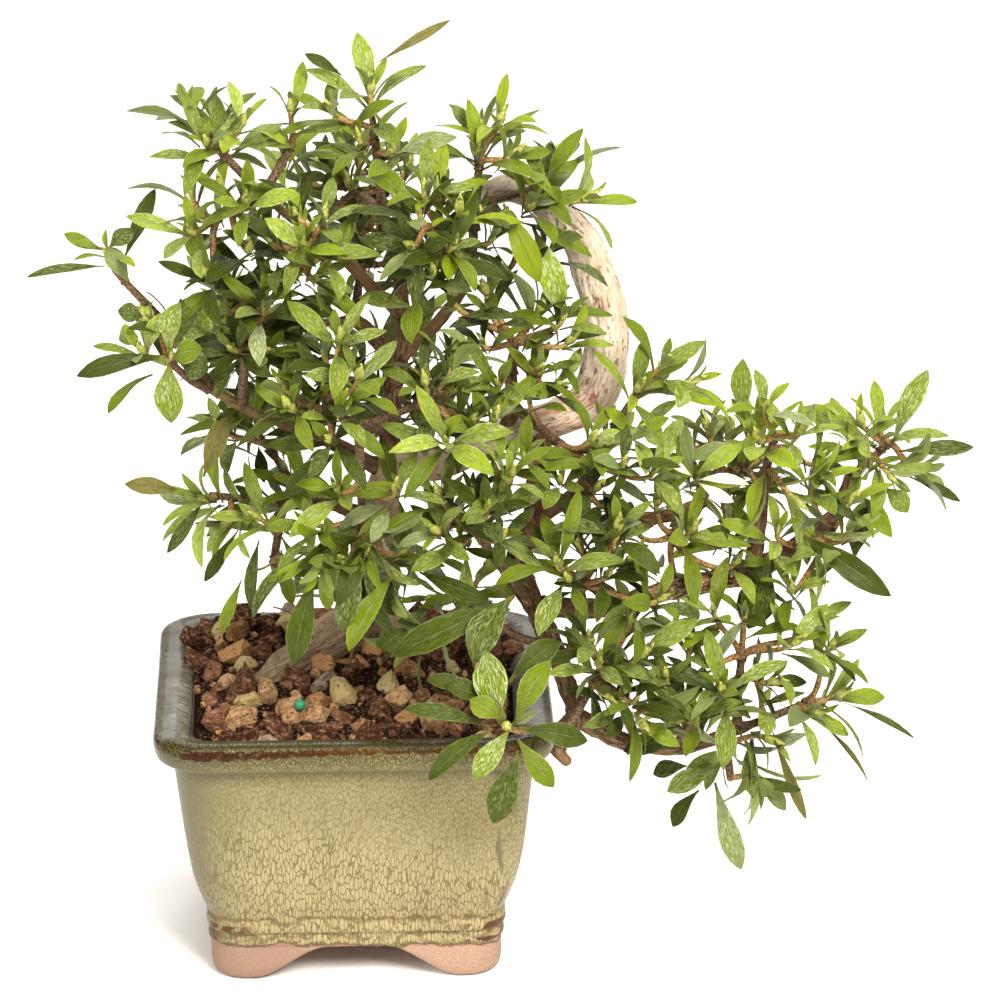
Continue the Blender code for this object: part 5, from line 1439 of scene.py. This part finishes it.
def leaf_material(name, dark, light, hair_and_sheen_colour, below):
    material, s = new_shader(name)
    pattern = {o.name: Value(s, o) for o in s.node("ShaderNodeGroup", node_tree=leaf_pattern).outputs}
    colour = s.coats(
        s.mix(pattern["Tone"], dark, light),
        # hair streaks painted pale: partly hairs, partly painted sheen
        (pattern["Hairs"] * 0.78, hair_and_sheen_colour),
        (pattern["Edge"] * 0.20, hair_and_sheen_colour),
        (pattern["Underside"], s.mix(pattern["Hairs"] * 0.4, below, hair_and_sheen_colour)),
        (pattern["Rib"] * 0.18, hair_and_sheen_colour),
        (pattern["Stalk"] * 0.7, STALK_COLOUR))
    set_surface(s, colour, 0.30, pattern["Relief"], 0.45, Specular_IOR_Level=0.11)
    return material


def copies_tree():
    """Sets one of several shapes on each point, turned and sized as the point says."""
    n = Nodes("set_copies", Points="Geometry", Shapes="Collection", Finish="Material")
    copies = n.copies(n.given["Points"], n.given["Shapes"], n.attribute("shape", "INT"),
                      n.attribute("turn", "QUATERNION"), n.attribute("size", "FLOAT_VECTOR"))
    return n.finish(copies, n.given["Finish"])


def set_copies(name, copies, shapes, finish):
    """Copies of shapes, each a point, turn, size and shape, as one plain mesh."""
    places, turns, sizes, kinds = zip(*copies)
    points = bpy.data.meshes.new(f"{name}_places")
    points.from_pydata([in_frame(place) for place in places], [], [])
    store(points, "turn", "QUATERNION", [c for turn in turns for c in turn])
    store(points, "size", "FLOAT_VECTOR", [c for size in sizes for c in size])
    store(points, "shape", "INT", kinds)
    base = new_object(f"{name}_places", points)
    piece = run_nodes(name, base, set_copies_tree, Shapes=shapes, Finish=finish)
    bpy.data.objects.remove(base)
    for label in ("turn", "size", "shape"):
        if label in piece.data.attributes:
            piece.data.attributes.remove(piece.data.attributes[label])
    return piece


limbs = [trunk_limb, *bough_limbs.values()]
limb_points = np.concatenate([limb.middles for limb in limbs])
limb_radii = np.concatenate([limb.radii for limb in limbs])


def in_the_way(point):
    """Whether a point lies inside a limb, the pot's wall or the soil."""
    if (np.linalg.norm(limb_points - np.array(point), axis=1) < limb_radii + LEAF_CLEARANCE).any():
        return True
    wide = max(abs(point.x), abs(point.y) / POT_DEPTH_RATIO)
    if point.z < RIM_LEVEL + 1.0 and wide < POT_REACH:
        return wide > POT_MOUTH or point.z < soil_level(point.x, point.y)
    return wide < POT_MOUTH and point.z < soil_level(point.x, point.y) + 1.0


def leaf_turn(ahead, face):
    side = ahead.cross(face).normalized()
    return Matrix((side, ahead, side.cross(ahead))).transposed().to_quaternion()


def add_leaf(kind, root, ahead, face, length, shape, wide):
    """Deal a leaf to its kind if nothing is in its way."""
    if not any(in_the_way(root + ahead * length * share) for share in (0.35, 0.65, 1.0)):
        scale = length / LEAF_LENGTH
        leaves[kind].append((root, leaf_turn(ahead, face), (scale * wide, scale, scale), shape))


def whorl_kind(draw, whorl, share):
    """The kind of a leaf: its whorl's, a step fresher at the heart and deeper at the foot."""
    roll = whorl.tone + draw.uniform(-0.16, 0.16) + 0.30 * share - 0.12
    if whorl.odd < BRONZE_BELOW and share > 0.5:
        return "bronze"
    if whorl.odd > YELLOW_ABOVE and share > 0.3:
        return "yellow"
    if draw.random() < SILVER_CHANCE:
        return "silver"
    return "fresh" if roll < FRESH_BELOW else "middle" if roll < MIDDLE_BELOW else "deep"


def dress_whorl(index, whorl):
    draw = random.Random(f"{whorl.name} whorl {index}")
    crowd = sum((other.tip - whorl.tip).length < CROWD_REACH for other in whorls)
    # crowded whorls are painted a deeper green as painted shade; the sides of the crown a fresher green as
    # painted light
    whorl.tone = OWN_TONE * draw.random() + CROWD_SHADE * smoothstep(CROWD_FEW, CROWD_MANY, crowd) - 0.05
    whorl.tone -= (RIGHT_TONE * smoothstep(60, 160, whorl.tip.x)
                   + LEFT_TONE * smoothstep(15, 70, -whorl.tip.x))
    whorl.odd = draw.random()
    heading = whorl.heading
    side = Matrix.Rotation(draw.uniform(0, math.tau), 3, heading) @ heading.orthogonal().normalized()
    across = heading.cross(side)
    count = whorl.leaves + (1 if whorl.leaves > 4 else 0)
    spread = draw.uniform(0.78, 1.10)
    for k in range(count):
        share = k / (count - 1)
        turn = k * GOLDEN_TURN + draw.uniform(-0.3, 0.3)
        open_angle = math.radians(LEAF_FIRST_ANGLE + LEAF_OPENING * spread * share ** 0.8
                                  + draw.uniform(-9, 9))
        outward = side * math.cos(turn) + across * math.sin(turn)
        ahead = heading * math.cos(open_angle) + outward * math.sin(open_angle)
        ahead.z -= 0.02 + 0.14 * share
        ahead.normalize()
        face = (heading - ahead * heading.dot(ahead)).normalized()
        face = Matrix.Rotation(draw.uniform(-0.4, 0.4), 3, ahead) @ face
        grown = 0.42 + 0.58 * min(1.0, share * 1.7)
        length = LEAF_LENGTH * whorl.size * grown * draw.uniform(0.90, 1.30)
        drop = LEAF_FIRST_DROP + LEAF_DROP * k * (1.0 if k < whorl.leaves else 1.7)
        root = whorl.tip - heading * drop + outward * 0.5
        shape = draw.choice((0, 1, 2, 4, 5) if share > 0.35 else (0, 3, 5))
        shape = shape * ATLAS + draw.randrange(ATLAS)
        add_leaf(whorl_kind(draw, whorl, share), root, ahead, face, length, shape, draw.uniform(0.78, 1.28))


LONE_LEAVES = [
    # root, tip, width and kind of a leaf that stands out
    ((54, -90, 118), (49, -84, 144), 1.50, "middle"), ((59, -90, 118), (72, -88, 142), 1.15, "middle"),
    ((60, -92, 117), (86, -92, 112), 1.05, "deep"), ((60, -92, 113), (73, -98, 96), 0.95, "middle"),
    ((61, -92, 108), (51, -98, 82), 1.30, "deep"), ((57, -93, 117), (44, -104, 102), 1.05, "middle"),
    ((51, -90, 116), (27, -96, 99), 1.05, "deep"), ((50, -90, 117), (19, -88, 124), 0.85, "deep"),
    ((54, -93, 121), (43, -92, 129), 1.0, "middle"), ((47, -82, 128), (27, -84, 134), 0.8, "deep"),
    ((48, -84, 126), (34, -88, 133), 1.0, "deep"), ((60, -60, 157), (43, -78, 140), 1.6, "deep"),
    ((59, -58, 155), (14, -66, 136), 1.35, "deep"), ((25, -44, 161), (50, -60, 156), 0.9, "deep"),
    ((57, -84, 132), (76, -74, 145), 1.05, "deep"),
    ((-35, -26, 168), (-38, -34, 142), 0.8, "deep"), ((-42, -24, 151), (-50, -30, 132), 0.6, "middle"),
    ((-43, -18, 169), (-56, -22, 150), 0.6, "deep"), ((-18, -44, 169), (-38, -56, 149), 1.05, "deep"),
    ((-14, -48, 163), (-23, -60, 131), 1.15, "deep"), ((3, -60, 173), (-4, -72, 149), 1.1, "deep"),
    ((15, -60, 166), (-2, -76, 143), 1.1, "middle"), ((0, -46, 163), (16, -52, 147), 1.0, "deep"),
    ((20, -38, 136), (10, -44, 131), 1.2, "deep"), ((16, -38, 139), (27, -40, 138), 0.9, "deep"),
    ((-68, -28, 242), (-101, -34, 237), 0.95, "deep"), ((-67, -30, 240), (-67, -44, 222), 1.3, "middle"),
    ((-67, -30, 245), (-64, -30, 263), 1.2, "middle"), ((-65, -26, 244), (-60, -20, 262), 1.0, "deep"),
    ((-66, -32, 242), (-55, -38, 248), 1.1, "middle"), ((-63, -26, 238), (-53, -30, 237), 1.3, "deep"),
    ((-61, -22, 244), (-55, -16, 256), 1.5, "middle"), ((-77, -14, 253), (-86, -16, 256), 0.9, "deep"),
    ((-79, -14, 245), (-86, -16, 245), 1.1, "middle"),
    ((-91, -8, 271), (-120, -10, 268), 0.55, "deep"), ((-91, -8, 277), (-106, -6, 283), 0.6, "middle"),
    ((-93, -10, 278), (-101, -12, 281), 0.6, "middle"), ((-84, -6, 273), (-72, 2, 298), 0.75, "deep"),
    ((-82, -12, 266), (-90, -10, 279), 0.9, "silver"), ((-89, -10, 279), (-80, -14, 287), 0.8, "deep"),
    ((58, -2, 292), (71, -14, 265), 1.15, "yellow"), ((69, -2, 283), (80, -10, 253), 1.2, "fresh"),
    ((12, 2, 346), (38, 0, 362), 0.42, "bronze"), ((-2, 2, 341), (-15, 0, 350), 0.5, "deep"),
    ((-56, -8, 187), (-47, -6, 210), 1.0, "bronze"), ((-64, -8, 181), (-85, -14, 187), 0.8, "bronze"),
    ((-56, -10, 178), (-70, -20, 161), 0.6, "deep"),
    ((170, -12, 163), (204, -30, 144), 1.15, "deep"), ((210, 6, 189), (238, 2, 192), 0.75, "deep"),
    ((213, 6, 179), (234, 2, 170), 0.45, "deep"), ((208, 6, 193), (220, 8, 221), 1.0, "middle"),
    ((204, 2, 176), (213, -4, 168), 1.0, "middle"), ((149, -12, 209), (148, -10, 232), 1.0, "middle"),
    ((193, -4, 148), (197, -2, 169), 1.2, "deep"), ((160, -6, 153), (152, -12, 124), 1.7, "deep"),
    ((139, -24, 65), (149, -30, 31), 1.05, "silver"), ((133, -22, 61), (122, -24, 47), 0.8, "deep"),
    ((139, -28, 73), (120, -36, 67), 1.0, "middle"), ((128, -24, 72), (115, -26, 70), 0.9, "deep"),
    ((151, -24, 68), (172, -28, 63), 0.6, "deep"), ((161, -20, 85), (175, -22, 47), 0.5, "bronze"),
    ((180, -18, 87), (200, -18, 62), 0.35, "bronze"), ((189, -18, 95), (217, -20, 81), 0.4, "deep"),
    ((126, -34, 85), (103, -38, 85), 1.2, "deep"),
    # this whorl's white leaves and the silver one among them are a painted highlight
    ((129, -20, 189), (126, -20, 210), 0.62, "silver"), ((130, -20, 190), (147, -22, 202), 0.80, "fresh"),
    ((130, -21, 188), (150, -24, 188), 0.62, "white"), ((131, -21, 187), (144, -26, 181), 0.55, "white"),
    ((129, -20, 189), (119, -20, 197), 0.40, "white"),
]
TOWARDS_FRONT = Vector((-0.1, -0.8, 0.6))


def add_lone_leaves():
    """The leaves that stand out, each turned to show its upper side to the front."""
    for i, (root, tip, wide, kind) in enumerate(LONE_LEAVES):
        draw = random.Random(f"lone leaf {i}")
        run = Vector(tip) - Vector(root)
        ahead = run.normalized()
        towards = TOWARDS_FRONT + Vector([draw.uniform(-0.35, 0.35) for _ in range(3)])
        face = (towards - ahead * towards.dot(ahead)).normalized()
        shape = draw.choice((0, 1, 5)) * ATLAS + draw.randrange(ATLAS)
        scale = run.length / LEAF_LENGTH * 1.03
        girth = wide / LEAF_GIRTH
        leaves[kind].append((Vector(root), leaf_turn(ahead, face), (girth, scale, (girth + scale) / 2),
                             shape))


leaf_pattern = leaf_pattern_group()
leaf_shapes = shapes_collection("leaf_shapes", [
    leaf_shape(cell // ATLAS, cell) for cell in range(ATLAS * ATLAS)])
set_copies_tree = copies_tree()
leaves = {kind: [] for kind in LEAF_FINISHES}
for index, whorl in enumerate(whorls):
    dress_whorl(index, whorl)
add_lone_leaves()
for kind, finish in LEAF_FINISHES.items():
    leaf_piece = set_copies(f"leaves_{kind}", leaves[kind], leaf_shapes,
                            leaf_material(f"{kind}_leaf", *finish))
    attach(leaf_piece, "root")
    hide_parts(*CROWN)

# ---- Buds --------------------------------------------------------------------------------------
# A plump yellow-green bud of overlapping scales at the heart of each whorl.
BUD_LENGTH = 8.5
BUD_RADIUS = 1.75
BUD_RINGS = (0.0, 0.15, 0.38, 0.62, 0.85)
BUD_RADII = (0.62, 0.95, 1.0, 0.72, 0.34)
BUD_SIDES = 7
BUD_SUNK = 1.2                  # below the shoot's tip


def bud_shape():
    turns = [-k * math.tau / BUD_SIDES for k in range(BUD_SIDES)]
    rings = [[(BUD_RADIUS * wide * math.cos(a), share * BUD_LENGTH, BUD_RADIUS * wide * math.sin(a))
              for a in turns] for share, wide in zip(BUD_RINGS, BUD_RADII)]
    return bpy.data.objects.new("bud", shape_mesh("bud", *stack(rings, (0, 0, 0), (0, BUD_LENGTH, 0))))


def bud_material():
    material, s = new_shader("bud_scales")
    scales = s.noise(millimetres(s), 0.9, 2.0)
    colour = s.mix(scales.ramp(0.36, 0.62), (0.220, 0.240, 0.030), (0.440, 0.440, 0.110))
    set_surface(s, colour, 0.5, scales, 0.2)
    return material


buds = []
for index, whorl in enumerate(whorls):
    draw = random.Random(f"bud {index}")
    grown = draw.uniform(0.7, 1.15)
    turn = leaf_turn(whorl.heading, whorl.heading.orthogonal().normalized())
    size = (grown, grown * draw.uniform(0.8, 1.25), grown)
    buds.append((whorl.tip - whorl.heading * BUD_SUNK, turn, size, 0))
bud_piece = set_copies("buds", buds, shapes_collection("bud_shapes", [bud_shape()]), bud_material())
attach(bud_piece, "root")
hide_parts(*CROWN)
